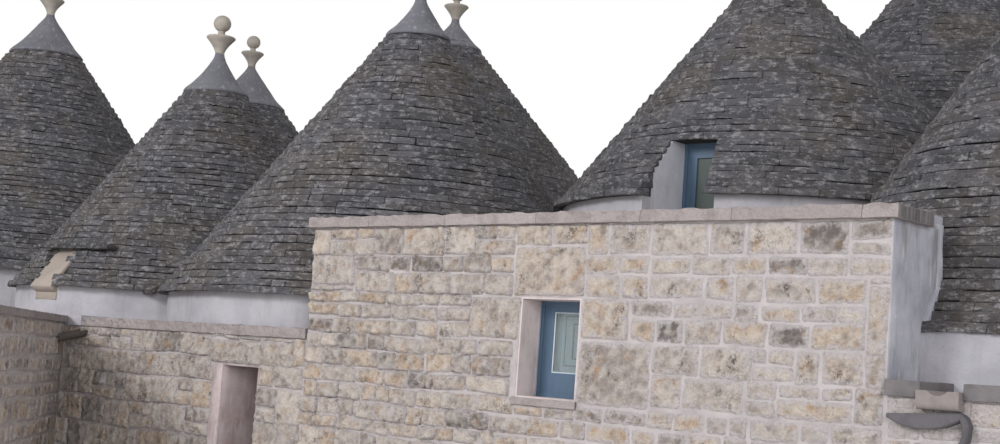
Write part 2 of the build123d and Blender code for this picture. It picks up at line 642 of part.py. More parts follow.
# Lip stone that carries rain through the gap in the right ledge
SPOUT_OUT = 120
with BuildPart() as spout_stone:
    block(SPOUT_LEFT + SEAT, SPOUT_RIGHT - SEAT, -SPOUT_OUT, SPOUT_BACK - SEAT,
          RIGHT_TOP, RIGHT_TOP + RIGHT_COPING - SPOUT_DROP)
    block(SPOUT_LEFT + SEAT, SPOUT_RIGHT - SEAT, -SPOUT_OUT, -SEAT, RIGHT_TOP - 90, RIGHT_TOP)
    fillet(spout_stone.edges().filter_by(Axis.X).group_by(Axis.Z)[0].sort_by(Axis.Y)[0], 50)
    with Locations(((SPOUT_LEFT + SPOUT_RIGHT) / 2, 90, RIGHT_TOP + RIGHT_COPING - SPOUT_DROP + 70)):
        Cylinder(110, 700, rotation=(90, 0, 0), mode=Mode.SUBTRACT)
save(spout_stone.part, "spout_stone")

# Crescent-shaped stone catch below it, with a bent tail on its right
CATCH_OUT = 100
catch_plane = Plane(origin=(BLOCK_HALF + 50, 0, RIGHT_TOP - 142), x_dir=(1, 0, 0), z_dir=(0, -1, 0))
with BuildPart() as catch_stone:
    with BuildSketch(catch_plane):
        with BuildLine():
            Line((0, 0), (610, 38))
            ThreePointArc((610, 38), (682, -15), (694, -90))
            ThreePointArc((694, -90), (685, -165), (630, -240))
            Line((630, -240), (598, -215))
            ThreePointArc((598, -215), (640, -140), (622, -18))
            ThreePointArc((622, -18), (350, -105), (0, -30))
            Line((0, -30), (0, 0))
        make_face()
    extrude(amount=CATCH_OUT)
    chamfer(catch_stone.faces().sort_by(Axis.Y)[0].edges(), 12)
save(catch_stone.part, "catch_stone")

# Plaster kerb on the block roof where the left cone meets it
with BuildPart() as roof_kerb:
    block(OUTLET_LEFT + SEAT, OUTLET_RIGHT - SEAT, -40, 400, LOW_TOP, LOW_TOP + LOW_COPING + 20)
    block(-2600, -1500, 620, 900, BLOCK_TOP, BLOCK_TOP + 150)
save(roof_kerb.part, "roof_kerb")
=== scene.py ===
import math
import random

import bmesh
import bpy
from mathutils import Matrix, Vector, noise


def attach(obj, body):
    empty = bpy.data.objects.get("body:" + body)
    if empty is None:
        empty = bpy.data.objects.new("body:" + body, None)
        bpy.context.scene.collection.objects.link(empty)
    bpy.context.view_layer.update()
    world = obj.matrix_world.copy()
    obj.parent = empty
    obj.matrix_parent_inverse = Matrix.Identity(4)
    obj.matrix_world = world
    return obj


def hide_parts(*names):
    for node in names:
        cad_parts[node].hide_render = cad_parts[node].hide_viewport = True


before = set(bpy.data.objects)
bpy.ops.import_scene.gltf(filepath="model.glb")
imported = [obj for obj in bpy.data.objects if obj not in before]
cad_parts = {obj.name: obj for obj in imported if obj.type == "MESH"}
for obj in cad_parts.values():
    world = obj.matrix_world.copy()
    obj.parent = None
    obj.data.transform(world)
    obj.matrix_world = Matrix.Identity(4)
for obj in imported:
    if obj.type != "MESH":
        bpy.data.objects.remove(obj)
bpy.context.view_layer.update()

# Sizes in metres, the same as the part's own
WALL = 0.70
BLOCK_HALF = 3.59
CORNER_X = -8.72
RIGHT_END = 7.0
LOW_TOP = 2.196
LOW_COPING = 0.12
RIGHT_TOP = 2.022
RIGHT_COPING = 0.13
BLOCK_TOP = 3.47
BLOCK_COPING = 0.115
COPING_OUT = 0.07
COPING_DEEP = 0.60
LEFT_COPING_OUT = 0.04
LEFT_COPING_DEEP = 0.37
LEDGE_OUT = 0.05
LEDGE_DEEP = 0.75
# Street doorway: left, right, head; the band is the smooth coat at its left
DOOR = (-5.09, -4.40, 1.84)
DOOR_BAND = 0.17
# Street window: left, right, sill, head
WINDOW = (-0.40, 0.37, 1.745, 2.745)
WINDOW_SET_BACK = 0.30
LEFT_END = -20.75
MID_FRONT = 6.3
MID_BACK = 7.1
BACK_RANGE_LEFT = -18.8
BACK_RANGE_END = 12.9
REAR_LEFT = -5.1
REAR_RIGHT = 3.1
REAR_END = 14.8
CORE_BACK = 8.4
RIGHT_BACK = 7.4
# Loft doorway: left, right, head
DORMER = (-0.77, 0.16, 4.83)
# Front of its left cheek: foot (y, z) and lean; slabs lap its right jamb near the head
CHEEK_FOOT = (2.55, 3.99)
CHEEK_LEAN = 0.18
JAMB_LAP = 0.25
JAMB_LEAN = 0.34
COURT_START = (-8.56, -0.045)
COURT_LENGTH = 4.5
COURT_THICK = 0.5
COURT_ANGLE = math.radians(-41.3)
COURT_TOP = 2.225
COURT_COPING = 0.09
# Gaps for the stones that let the rain out: in the left coping and in the right ledge
OUTLET = (-8.56, -8.20)
SPOUT = (3.90, 4.26)
FLANK_BACK = 0.8
DRUM_INSET = 0.12
# Edges of the shutter's two panels and of the pane: left, right, foot, head
SHUTTER_PANEL = (-0.102, 0.232, 2.085, 2.588)
SHUTTER_FIELD = (-0.010, 0.140, 2.156, 2.514)
PANE_EDGE = (-0.2127, 0.2597, 2.0103, 2.6197)

# Slabs of the cones: height of a course, width of a slab, its reach into the wall, narrowest broken piece
COURSE_HEIGHTS = (0.082, 0.106)
SLAB_WIDTHS = (0.16, 0.44)
SLAB_DEPTH = 0.24
NARROWEST = 0.13
# Cones out of sight or far off are laid with wider slabs
BROADER = {"d": 1.2, "b2": 1.2, "f": 1.1}

# Each trullo: middle, eave radius, eave, lean of its top, top, share of its height below the cap, drum's foot
CONES = {
    "a": dict(x=-10.25, y=3.43, r=2.98, eave=2.77, dx=-0.14, top=6.86, cap=0.835, foot=LOW_TOP),
    "b": dict(x=-5.42, y=3.25, r=3.30, eave=2.72, dx=-0.11, top=7.18, cap=0.87, foot=LOW_TOP),
    "c": dict(x=-0.54, y=5.36, r=3.08, eave=4.11, dx=-0.49, top=7.75, cap=0.85, foot=BLOCK_TOP),
    "d": dict(x=-1.02, y=10.60, r=4.00, eave=4.05, dx=0.0, top=9.55, cap=0.85, foot=BLOCK_TOP),
    "e": dict(x=3.85, y=3.63, r=3.07, eave=2.586, dx=-0.24, top=6.79, cap=0.85, foot=RIGHT_TOP, inset=0.02),
    "f": dict(x=-16.64, y=3.77, r=4.10, eave=3.10, dx=0.30, top=8.29, cap=0.84, foot=LOW_TOP),
    "a2": dict(x=-15.38, y=7.98, r=3.34, eave=3.95, dx=0.0, top=8.03, cap=0.78, foot=LOW_TOP),
    "b2": dict(x=-10.42, y=8.98, r=3.85, eave=4.30, dx=0.0, top=8.71, cap=0.867, foot=LOW_TOP),
}
# Plastered slot low on the left cone, angles about its centre in degrees
SLOT_FROM, SLOT_TO, SLOT_TOP = -93.5, -83.0, 3.31

# Nearer trulli that trim each trullo
CUT_BY = {
    "a": ("b",),
    "b": (),
    "c": ("b", "e"),
    "d": ("c",),
    "e": (),
    "f": ("a",),
    "a2": ("a", "f", "b2"),
    "b2": ("a", "b"),
}
LEFT_CONES = ("a", "b", "f", "a2", "b2")

# Finial: (radius, rise over the cone's top) up its flared dish; the ball's radius, rise and flatness
FINIAL_DISH = (
    (0.074, -0.02), (0.078, 0.03), (0.102, 0.09), (0.148, 0.16), (0.202, 0.225), (0.236, 0.262),
    (0.239, 0.279), (0.226, 0.292), (0.15, 0.302), (0.076, 0.310), (0.062, 0.33), (0.058, 0.36),
    (0.062, 0.385),
)
BALL = 0.145
BALL_RISE = 0.515
BALL_FLATNESS = 0.96

# Courses of the dressed walls, the narrow strip at the rim of every stone, a grid cell inside it
WALL_COURSES = (0.17, 0.34)
RIM = 0.020
CELL = 0.040
# Room between the floor and the foot of the walls
FLOOR_DROP = 0.002


# Small helpers for nodes and colours

def linear(code):
    """Scene colour of an sRGB hex code."""
    value = code.lstrip("#")
    channels = [int(value[i:i + 2], 16) / 255 for i in (0, 2, 4)]
    return tuple(c / 12.92 if c <= 0.04045 else ((c + 0.055) / 1.055) ** 2.4 for c in channels) + (1.0,)


def put(tree, kind, inputs=None, **settings):
    """Adds a node; an input takes a value or another node's output."""
    made = tree.nodes.new(kind)
    for name, value in settings.items():
        setattr(made, name, value)
    for name, value in (inputs or {}).items():
        if isinstance(value, bpy.types.NodeSocket):
            tree.links.new(value, made.inputs[name])
        else:
            made.inputs[name].default_value = value
    return made


def joined(tree, how, first, second):
    """One value from two."""
    return put(tree, "ShaderNodeMath", {0: first, 1: second}, operation=how).outputs[0]


def blend(tree, factor, first, second, how="MIX"):
    """Colour between two colours or outputs."""
    made = put(tree, "ShaderNodeMix", {0: factor, 6: first, 7: second}, data_type="RGBA", blend_type=how)
    return made.outputs[2]


def stretch(tree, value, low, high, to_low=0.0, to_high=1.0):
    """Maps a value from one span to another, clamped."""
    made = put(
        tree, "ShaderNodeMapRange",
        {"Value": value, "From Min": low, "From Max": high, "To Min": to_low, "To Max": to_high},
    )
    return made.outputs[0]


def grain(tree, place, scale, detail=4.0, rough=0.6):
    """Noise value, scale in cells a metre."""
    made = put(
        tree, "ShaderNodeTexNoise",
        {"Vector": place, "Scale": scale, "Detail": detail, "Roughness": rough},
    )
    return made.outputs[0]


def scaled(tree, place, x, y, z):
    """Place in metres, squeezed along some axes so that a pattern runs along the others."""
    return put(tree, "ShaderNodeMapping", {"Vector": place, "Scale": (x, y, z)}).outputs[0]


def start(name):
    """New material: its tree, the surface node and the place in metres."""
    material = bpy.data.materials.new(name)
    material.use_nodes = True
    tree = material.node_tree
    surface = tree.nodes["Principled BSDF"]
    place = put(tree, "ShaderNodeTexCoord").outputs["Object"]
    return material, tree, surface, place


def relief(tree, surface, layers):
    """Bumps stacked on the surface: (height value, depth in metres) pairs."""
    before = None
    for height, depth in layers:
        inputs = {"Height": height, "Distance": depth, "Strength": 1.0}
        if before is not None:
            inputs["Normal"] = before
        before = put(tree, "ShaderNodeBump", inputs).outputs[0]
    tree.links.new(before, surface.inputs["Normal"])


def coat(tree, surface, colour, roughness, bumps):
    """Gives a surface its colour, roughness and relief."""
    tree.links.new(colour, surface.inputs["Base Color"])
    surface.inputs["Roughness"].default_value = roughness
    relief(tree, surface, bumps)


def attribute(tree, name):
    """Value that each face or corner of a piece carries."""
    return put(tree, "ShaderNodeAttribute", attribute_name=name).outputs["Fac"]


def stained(tree, colour, value, low, high, strength, code):
    """Lays one stain over a colour: none of it where value is low, most where it is high."""
    return blend(tree, stretch(tree, value, low, high, 0.0, strength), colour, linear(code))


def grained(tree, colour, value, low, high):
    """Darkens and lightens a colour by fine grain."""
    fine = stretch(tree, value, 0.3, 0.7, low, high)
    shade = put(tree, "ShaderNodeCombineColor", {0: fine, 1: fine, 2: fine}).outputs[0]
    return blend(tree, 1.0, colour, shade, "MULTIPLY")


def single_stones(tree, tone, darkest, palest, between):
    """Colour of single stones, by the tone that each was given when it was laid."""
    made = put(tree, "ShaderNodeValToRGB", {0: tone})
    ends = made.color_ramp.elements
    ends[0].position, ends[0].color = 0.0, linear(darkest)
    ends[1].position, ends[1].color = 1.0, linear(palest)
    for spot, code in between:
        ends.new(spot).color = linear(code)
    return made.outputs[0]


def wall_limestone(name="wall_limestone", smeared=0.57):
    """Pick-dressed limestone: pinkish grey, ochre and dark stones, mortar dragged over their edges."""
    material, tree, surface, place = start(name)
    tone = attribute(tree, "tone")
    proud = attribute(tree, "proud")
    edge = attribute(tree, "edge")
    colour = single_stones(tree, tone, "#6E6765", "#C9BEB6", (
        (0.14, "#8A817D"), (0.30, "#AA9F99"), (0.56, "#BDB2AB"), (0.78, "#BBA590"),
    ))
    # rust-brown staining in drifts across several stones
    colour = stained(tree, colour, grain(tree, place, 4.2, 6, 0.70), 0.54, 0.66, 0.75, "#A6815A")
    # grey weathering, and black lichen in specks where rain runs off the coping
    colour = stained(tree, colour, grain(tree, place, 7.5, 7, 0.72), 0.50, 0.62, 0.70, "#7D7674")
    speck = stretch(tree, grain(tree, place, 34.0, 5, 0.85), 0.47, 0.55)
    blot = stretch(tree, grain(tree, place, 2.6, 5, 0.7), 0.54, 0.62, 0.0, 0.95)
    colour = blend(tree, joined(tree, "MULTIPLY", speck, blot), colour, linear("#524D4B"))
    # darker where the stone's face sits low; painted highlight on the ridges, paler where the face stands
    # high
    hollow = stretch(tree, proud, 0.10, 0.55, 0.45, 0.0)
    colour = blend(tree, hollow, colour, linear("#77695C"))
    colour = stained(tree, colour, proud, 0.55, 1.0, 0.55, "#D9D2CB")
    colour = grained(tree, colour, grain(tree, place, 60, 6, 0.80), 0.70, 1.14)
    # mortar creeps over the stones' edges and is smeared across some faces
    creep = stretch(tree, grain(tree, place, 8.0, 7, 0.78), 0.36, 0.70, -0.006, 0.085)
    covered = stretch(tree, joined(tree, "SUBTRACT", edge, creep), -0.010, 0.022, 0.85, 0.0)
    smear = stretch(tree, grain(tree, place, 5.0, 6, 0.66), smeared, smeared + 0.11, 0.0, 0.70)
    covered = joined(tree, "MAXIMUM", covered, smear)
    dusty = stretch(tree, grain(tree, place, 26.0, 5, 0.7), 0.4, 0.7)
    wash = blend(tree, dusty, linear("#BFB9BB"), linear("#A9A2A3"))
    colour = blend(tree, covered, colour, wash)
    pits = put(tree, "ShaderNodeTexVoronoi", {"Vector": place, "Scale": 34.0}).outputs[0]
    coat(tree, surface, colour, 0.93, [
        (grain(tree, place, 17, 7, 0.68), 0.034),
        (pits, 0.010),
        (grain(tree, place, 85, 4, 0.65), 0.005),
    ])
    return material


def lime_mortar(name="lime_mortar", code="#BDB7B9", dark="#989194"):
    """Flush pale mortar between the blocks, sandy and a little dirty."""
    material, tree, surface, place = start(name)
    colour = stained(tree, linear(code), grain(tree, place, 3.2, 6, 0.6), 0.42, 0.72, 0.75, dark)
    colour = stained(tree, colour, grain(tree, place, 90, 3, 0.6), 0.35, 0.7, 0.35, "#8E8478")
    coat(tree, surface, colour, 0.95, [
        (grain(tree, place, 14, 5, 0.6), 0.012),
        (grain(tree, place, 70, 4, 0.65), 0.004),
    ])
    return material


def roof_slab_stone():
    """Weathered limestone slabs: purple-grey skin mottled with pale and black lichen, brown dust."""
    material, tree, surface, place = start("roof_slab_stone")
    tone = attribute(tree, "tone")
    colour = single_stones(tree, tone, "#3B3B3F", "#6D6C73", (
        (0.3, "#49484D"), (0.6, "#55545A"), (0.85, "#605F64"),
    ))
    colour = stained(tree, colour, grain(tree, place, 0.9, 4), 0.45, 0.70, 0.55, "#615648")
    # the stones keep the courses' direction: stains run along them
    flat = scaled(tree, place, 1.0, 1.0, 2.2)
    colour = stained(tree, colour, grain(tree, flat, 10.0, 7, 0.76), 0.50, 0.60, 0.70, "#393739")
    colour = stained(tree, colour, grain(tree, flat, 8.5, 8, 0.80), 0.515, 0.60, 0.75, "#9A989B")
    colour = stained(tree, colour, grain(tree, place, 5.0, 5, 0.7), 0.60, 0.72, 0.45, "#56584A")
    colour = grained(tree, colour, grain(tree, place, 75, 5, 0.75), 0.62, 1.18)
    coat(tree, surface, colour, 0.93, [
        (grain(tree, place, 16, 7, 0.68), 0.024),
        (grain(tree, place, 80, 4, 0.65), 0.005),
    ])
    return material


def core_shadow_stone():
    """Packed rubble seen only in the cracks between slabs: near-black as painted shade in those cracks, no
    detail.
    """
    material, tree, surface, place = start("core_shadow_stone")
    colour = stained(tree, linear("#242221"), grain(tree, place, 12, 4), 0.35, 0.7, 1.0, "#3A3734")
    coat(tree, surface, colour, 1.0, [(grain(tree, place, 25, 5), 0.02)])
    return material


def lime_plaster(name="lime_plaster", code="#B2B0B7", stain="#94929A", streak=0.30, scraped=0.0):
    """Hand-trowelled limewash: soft white, grey where rain has run down it."""
    material, tree, surface, place = start(name)
    colour = stained(tree, linear(code), grain(tree, place, 1.6, 5, 0.6), 0.40, 0.72, 0.80, stain)
    # runs of dirt: noise squeezed along the height
    squeezed = scaled(tree, place, 7.0, 7.0, 1.6)
    colour = stained(tree, colour, grain(tree, squeezed, 1.0, 5, 0.62), 0.52, 0.74, streak, "#7F7B7A")
    # pale scrapes of thicker lime left by the brush
    brushed = scaled(tree, place, 16.0, 16.0, 2.6)
    colour = stained(tree, colour, grain(tree, brushed, 1.0, 5, 0.7), 0.56, 0.66, scraped, "#D2CFD1")
    colour = stained(tree, colour, grain(tree, place, 35, 4, 0.7), 0.60, 0.72, 0.35, "#6E6A66")
    coat(tree, surface, colour, 0.88, [
        (grain(tree, place, 3.5, 4), 0.020),
        (grain(tree, place, 45, 4, 0.6), 0.0025),
    ])
    return material


def coping_limestone():
    """Hammered limestone slabs along the wall heads; their right-hand ends are darkened as painted shade and
    comb-tooled.
    """
    material, tree, surface, place = start("coping_limestone")
    tone = attribute(tree, "tone")
    colour = blend(tree, tone, linear("#938A8A"), linear("#ACA3A3"))
    colour = stained(tree, colour, grain(tree, place, 4.5, 6, 0.65), 0.48, 0.70, 0.70, "#7F7776")
    colour = stained(tree, colour, grain(tree, place, 55, 4, 0.7), 0.35, 0.72, 0.45, "#6F6661")
    # painted shade: faces turned to the right are darkened, streaked by the comb-tooling
    facing = put(tree, "ShaderNodeTexCoord").outputs["Normal"]
    rightward = put(tree, "ShaderNodeSeparateXYZ", {0: facing}).outputs["X"]
    right_face_shade = stretch(tree, rightward, 0.6, 0.9, 0.0, 0.9)
    across = scaled(tree, place, 1.0, 45.0, 3.0)
    combed = stretch(tree, grain(tree, across, 1.0, 3, 0.6), 0.38, 0.62)
    colour = blend(tree, right_face_shade, colour, blend(tree, combed, linear("#4B484B"), linear("#7A7577")))
    coat(tree, surface, colour, 0.9, [
        (grain(tree, place, 18, 6, 0.65), 0.020),
        (grain(tree, place, 85, 4, 0.6), 0.004),
    ])
    return material


def carved_stone(name, code, worn):
    """Turned limestone finials and brackets: close-grained, limewashed long ago."""
    material, tree, surface, place = start(name)
    colour = stained(tree, linear(code), grain(tree, place, 7, 5, 0.6), 0.42, 0.72, 0.65, worn)
    colour = stained(tree, colour, grain(tree, place, 40, 4, 0.7), 0.58, 0.70, 0.45, "#77706A")
    coat(tree, surface, colour, 0.85, [(grain(tree, place, 50, 4, 0.6), 0.004)])
    return material


def painted_wood(name, code, worn):
    """Satin oil paint on joinery: even colour, faint brush drag along the grain."""
    material, tree, surface, place = start(name)
    drag = scaled(tree, place, 60.0, 60.0, 4.0)
    colour = stained(tree, linear(code), grain(tree, drag, 1.0, 4, 0.6), 0.35, 0.7, 0.45, worn)
    coat(tree, surface, colour, 0.42, [(grain(tree, drag, 1.0, 3), 0.0006)])
    return material


def window_pane(name="window_pane", clear="#EFF4F2", film="#DDE8E6", through=0.88, gloss=0.04):
    """Old float glass: clear or filmed with dust, mirror-like at a slant."""
    material, tree, surface, place = start(name)
    tint = blend(tree, grain(tree, place, 2.0), linear(film), linear(clear))
    tree.links.new(tint, surface.inputs["Base Color"])
    surface.inputs["Roughness"].default_value = gloss
    surface.inputs["Transmission Weight"].default_value = through
    surface.inputs["IOR"].default_value = 1.5
    return material


def roof_screed():
    """Trodden lime screed on the flat roofs: grey-white with dirty hollows."""
    material, tree, surface, place = start("roof_screed")
    colour = stained(tree, linear("#C9C5BE"), grain(tree, place, 1.1, 6, 0.62), 0.38, 0.68, 0.85, "#8D8982")
    colour = stained(tree, colour, grain(tree, place, 8, 6, 0.7), 0.60, 0.72, 0.6, "#5E5B54")
    coat(tree, surface, colour, 0.95, [
        (grain(tree, place, 10, 5), 0.010),
        (grain(tree, place, 60, 3), 0.003),
    ])
    return material


LIMESTONE = wall_limestone()
MORTAR = lime_mortar()
SLABS = roof_slab_stone()
CORE = core_shadow_stone()
PLASTER = lime_plaster()
RENDER = lime_plaster("grey_render", "#B4B4BE", "#7E7F8A", 0.85, 0.50)
# slot plaster: pinkish render, darker as the painted shade of a recess
SLOT_RENDER = lime_plaster("slot_render_recess_shade", "#A2978E", "#877D76", 0.30)
COPING = coping_limestone()
# catch stone: dark grey all over
CATCH_STONE = carved_stone("dark_grey_catch_stone", "#5F5C61", "#464449")
SMEARED = wall_limestone("smeared_limestone", 0.40)
LEDGE_STONE = carved_stone("weathered_ledge_stone", "#726D6F", "#545155")
SPOUT_STONE = carved_stone("spout_limestone", "#8A8280", "#686362")
REVEAL_COAT = lime_plaster("reveal_lime", "#CCC0BF", "#A99C9C", 0.35, 0.15)
# doorway plaster: grey-pink, lighter than the rest as painted light
DOORWAY_COAT = lime_plaster("doorway_lime_painted_light", "#C6B8BB", "#93807A", 0.80, 0.30)
CHEEK_COAT = lime_plaster("cheek_lime", "#C8C7D0", "#AAA9B2", 0.30)
CARVED = carved_stone("carved_stone", "#ABA49B", "#857E77")
# caps: weathered grey limewash, made far darker still as painted shade
CAP_COAT = lime_plaster("weathered_and_shaded_cap_lime", "#6E6E76", "#5B5B63", 0.45, 0.25)
BLUE = painted_wood("blue_oil_paint", "#50677E", "#43576B")
DEEP_BLUE = painted_wood("shadowed_blue_paint", "#2E4153", "#263747")
# inner shutter behind the glass: pale blue paint, made paler as painted light and reflection off the pane
PALE_BLUE = painted_wood("pale_blue_paint_with_painted_reflection", "#86A0B2", "#758FA2")
# pale paint on the glazing bead round the pane: a painted glint on its edge
BEAD_GLINT_PAINT = painted_wood("glazing_bead_glint", "#C6D1D8", "#A9B7C1")
GLASS = window_pane()
DUSTY_GLASS = window_pane("dusty_pane", "#6F7A77", "#59635F", 0.25, 0.22)
SCREED = roof_screed()
INNER = lime_mortar("inner_limewash", "#CFC9BE", "#B4ADA2")
DARK_CLAY = lime_mortar("dark_clay", "#4A4542", "#2F2B29")


X, Y, UP = Vector((1, 0, 0)), Vector((0, 1, 0)), Vector((0, 0, 1))
FRONT = Vector((0, -1, 0))


# Finishing the pieces

def in_scene(name, data):
    """New object that shows a mesh, a lamp or a camera."""
    made = bpy.data.objects.new(name, data)
    bpy.context.scene.collection.objects.link(made)
    return made


def finish_piece(work, name, material, smooth=False, replaces=()):
    """Turns a bmesh into a named piece that rides on the house."""
    bmesh.ops.recalc_face_normals(work, faces=work.faces[:])
    mesh = bpy.data.meshes.new(name)
    work.to_mesh(mesh)
    work.free()
    if smooth:
        mesh.shade_smooth()
    piece = in_scene(name, mesh)
    mesh.materials.append(material)
    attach(piece, "root")
    if replaces:
        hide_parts(*replaces)
    return piece


def clamped(value):
    return min(1.0, max(0.0, value))


def block_between(work, x0, x1, y0, y1, z0, z1):
    """Adds a block that fills the space between two corners."""
    middle = Matrix.Translation(((x0 + x1) / 2, (y0 + y1) / 2, (z0 + z1) / 2))
    bmesh.ops.create_cube(work, size=1.0, matrix=middle @ Matrix.Diagonal((x1 - x0, y1 - y0, z1 - z0, 1)))


def merge(whole, work):
    """Moves one finished part of a piece into the whole."""
    spare = bpy.data.meshes.new("spare")
    work.to_mesh(spare)
    work.free()
    whole.from_mesh(spare)
    bpy.data.meshes.remove(spare)


def soften(piece, width, segments=1):
    """Rounds the edges of a piece where its faces meet at more than 40 degrees."""
    made = piece.modifiers.new("worn_edges", "BEVEL")
    made.width = width
    made.segments = segments
    made.limit_method = "ANGLE"
    made.angle_limit = math.radians(40)
    return piece


# Dry-stone cones

def radius_at(cone, z):
    return cone["r"] * (cone["top"] - z) / (cone["top"] - cone["eave"])


def middle_at(cone, z):
    share = (z - cone["eave"]) / (cone["top"] - cone["eave"])
    return Vector((cone["x"] + cone["dx"] * share, cone["y"], z))


def slope_of(cone):
    """Angle between a cone's side and the upright."""
    return math.atan2(cone["r"], cone["top"] - cone["eave"])


def cap_height(cone):
    return cone["eave"] + cone["cap"] * (cone["top"] - cone["eave"])


def inside(cone, point, margin):
    """True where a point lies within another trullo's outline."""
    z = point.z
    if z < cone["foot"] or z > cone["top"]:
        return False
    if z < cone["eave"]:
        away = math.hypot(point.x - cone["x"], point.y - cone["y"])
        return away < cone["r"] - cone.get("inset", DRUM_INSET) - margin
    centre = middle_at(cone, z)
    return math.hypot(point.x - centre.x, point.y - centre.y) < radius_at(cone, z) - margin


def buried(letter, point):
    """True where this cone's slab would stand inside a nearer trullo, masonry or the slot."""
    if any(inside(CONES[other], point, 0.10) for other in CUT_BY[letter]):
        return True
    if point.z < BLOCK_TOP and letter in LEFT_CONES:
        if point.x > -BLOCK_HALF and point.y < CORE_BACK:
            return True
        if BACK_RANGE_LEFT < point.x and point.y > MID_FRONT:
            return True
    if letter == "a" and point.z < SLOT_TOP:
        cone = CONES[letter]
        turned_by = math.degrees(math.atan2(point.y - cone["y"], point.x - cone["x"]))
        return SLOT_FROM < turned_by < SLOT_TO
    return False


def beside_loft_doorway(middle, radius, angle, width, depth):
    """Breaks a slab off at the jambs of the loft doorway; None where all of it would lie inside."""
    spot = middle + Vector((math.cos(angle), math.sin(angle), 0)) * radius
    if middle.z > DORMER[2] + 0.02 or spot.y > middle.y:
        return angle, width, depth
    left, right = spot.x - width / 2, spot.x + width / 2
    jamb = min(DORMER[1], DORMER[1] - JAMB_LAP + JAMB_LEAN * (DORMER[2] - 0.13 - middle.z))
    if left < DORMER[0] < right + 0.10:
        right = DORMER[0] + 0.008
        left = min(left, right - NARROWEST)
        across = (left + right) / 2 - middle.x
        skin = middle.y - math.sqrt(radius * radius - across * across)
        cheek_front = CHEEK_FOOT[0] + CHEEK_LEAN * (middle.z - CHEEK_FOOT[1])
        depth = min(depth, max(0.07, cheek_front - skin))
    elif left < jamb < right:
        left = jamb
        right = max(right, left + NARROWEST)
    elif DORMER[0] <= left and right <= jamb:
        return None
    turned_to = -math.acos(((left + right) / 2 - middle.x) / radius)
    return turned_to, right - left, depth


def set_tone(verts, tone, value):
    """Gives every face of one stone its tone."""
    for face in {f for v in verts for f in v.link_faces}:
        face[tone] = value


def lay_slab(work, rnd, centre, angle, lip, size, draw_in):
    """One slab: lip a little low, upper edge drawn in, corners broken by hand."""
    depth, width, thick = size
    place = (
        Matrix.Translation(centre)
        @ Matrix.Rotation(angle, 4, "Z")
        @ Matrix.Rotation(math.radians(rnd.gauss(5.0, 1.2)), 4, "Y")
        @ Matrix.Rotation(math.radians(rnd.gauss(0, 0.8)), 4, "X")
        @ Matrix.Rotation(math.radians(rnd.gauss(0, 0.7)), 4, "Z")
        @ Matrix.Diagonal((depth, width * rnd.uniform(1.0, 1.03), thick, 1))
    )
    verts = bmesh.ops.create_cube(work, size=1.0, matrix=place)["verts"]
    for vert in verts:
        outer = (vert.co - centre).dot(lip) > 0
        if outer and vert.co.z > centre.z:
            vert.co -= lip * (draw_in * thick + rnd.uniform(0.0, 0.008))
        vert.co += Vector((rnd.gauss(0, 0.005), rnd.gauss(0, 0.005), rnd.gauss(0, 0.0030)))
    return verts


def slab_courses(letter):
    """Rings of thin overlapping slabs up to the cone's cap."""
    cone = CONES[letter]
    rnd = random.Random("courses " + letter)
    work = bmesh.new()
    tone = work.faces.layers.float.new("tone")
    broad = BROADER.get(letter, 1.0)
    z = cone["eave"]
    top = cap_height(cone) + 0.04
    draw_in = 0.45 * cone["r"] / (cone["top"] - cone["eave"])
    # the lowest course juts out over the drum
    jut = 0.03
    while z < top:
        height = rnd.uniform(*COURSE_HEIGHTS)
        radius = radius_at(cone, z + 0.35 * height)
        middle = middle_at(cone, z + 0.5 * height)
        ring_tone = rnd.gauss(0, 0.05)
        ring_thick = rnd.uniform(0.87, 0.96) * height
        turn = rnd.uniform(0, 2 * math.pi)
        end = turn + 2 * math.pi
        while turn < end - 0.02:
            narrow = min(1.0, 0.35 + radius / 1.8)
            width = rnd.uniform(*SLAB_WIDTHS) * narrow * broad
            # one slab in eight is a short one
            if rnd.random() < 0.12:
                width *= 0.55
            span = width / radius
            if turn + span > end:
                span = end - turn
                width = span * radius
            angle = turn + span / 2
            turn += span
            depth = SLAB_DEPTH
            if letter == "c":
                trimmed = beside_loft_doorway(middle, radius, angle, width, depth)
                if not trimmed:
                    continue
                angle, width, depth = trimmed
            out = rnd.gauss(0.0, 0.004) + jut
            lip = Vector((math.cos(angle), math.sin(angle), 0))
            thick = ring_thick * rnd.uniform(0.93, 1.03)
            centre = middle + lip * (radius + out - depth / 2 + 0.020)
            centre.z = z + thick / 2 + rnd.uniform(-0.002, 0.003)
            if buried(letter, middle + lip * (radius - 0.02)):
                continue
            verts = lay_slab(work, rnd, centre, angle, lip, (depth, width, thick), draw_in)
            set_tone(verts, tone, clamped(rnd.betavariate(2.6, 2.8) + ring_tone))
        z += height
        jut = 0.0
    return soften(finish_piece(work, "courses_" + letter, SLABS), 0.008)


def turned(work, centre, profile, steps):
    """Spins a profile of (radius, height) points about an upright axis."""
    verts = [work.verts.new((centre[0] + r, centre[1], z)) for r, z in profile]
    edges = [work.edges.new((a, b)) for a, b in zip(verts, verts[1:])]
    bmesh.ops.spin(
        work, geom=verts + edges, cent=(centre[0], centre[1], 0), axis=(0, 0, 1),
        dvec=(0, 0, 0), angle=2 * math.pi, steps=steps, use_merge=True, use_duplicate=False,
    )


def smooth_profile(points, cuts):
    """Rounds a profile with a curve through its points."""
    made = []
    doubled = [points[0], *points, points[-1]]
    for a, b, c, d in zip(doubled, doubled[1:], doubled[2:], doubled[3:]):
        for k in range(cuts):
            t = k / cuts
            made.append(tuple(
                0.5 * (2 * b[n] + (c[n] - a[n]) * t + (2 * a[n] - 5 * b[n] + 4 * c[n] - d[n]) * t * t
                       + (3 * b[n] - a[n] - 3 * c[n] + d[n]) * t ** 3)
                for n in (0, 1)
            ))
    made.append(points[-1])
    return made


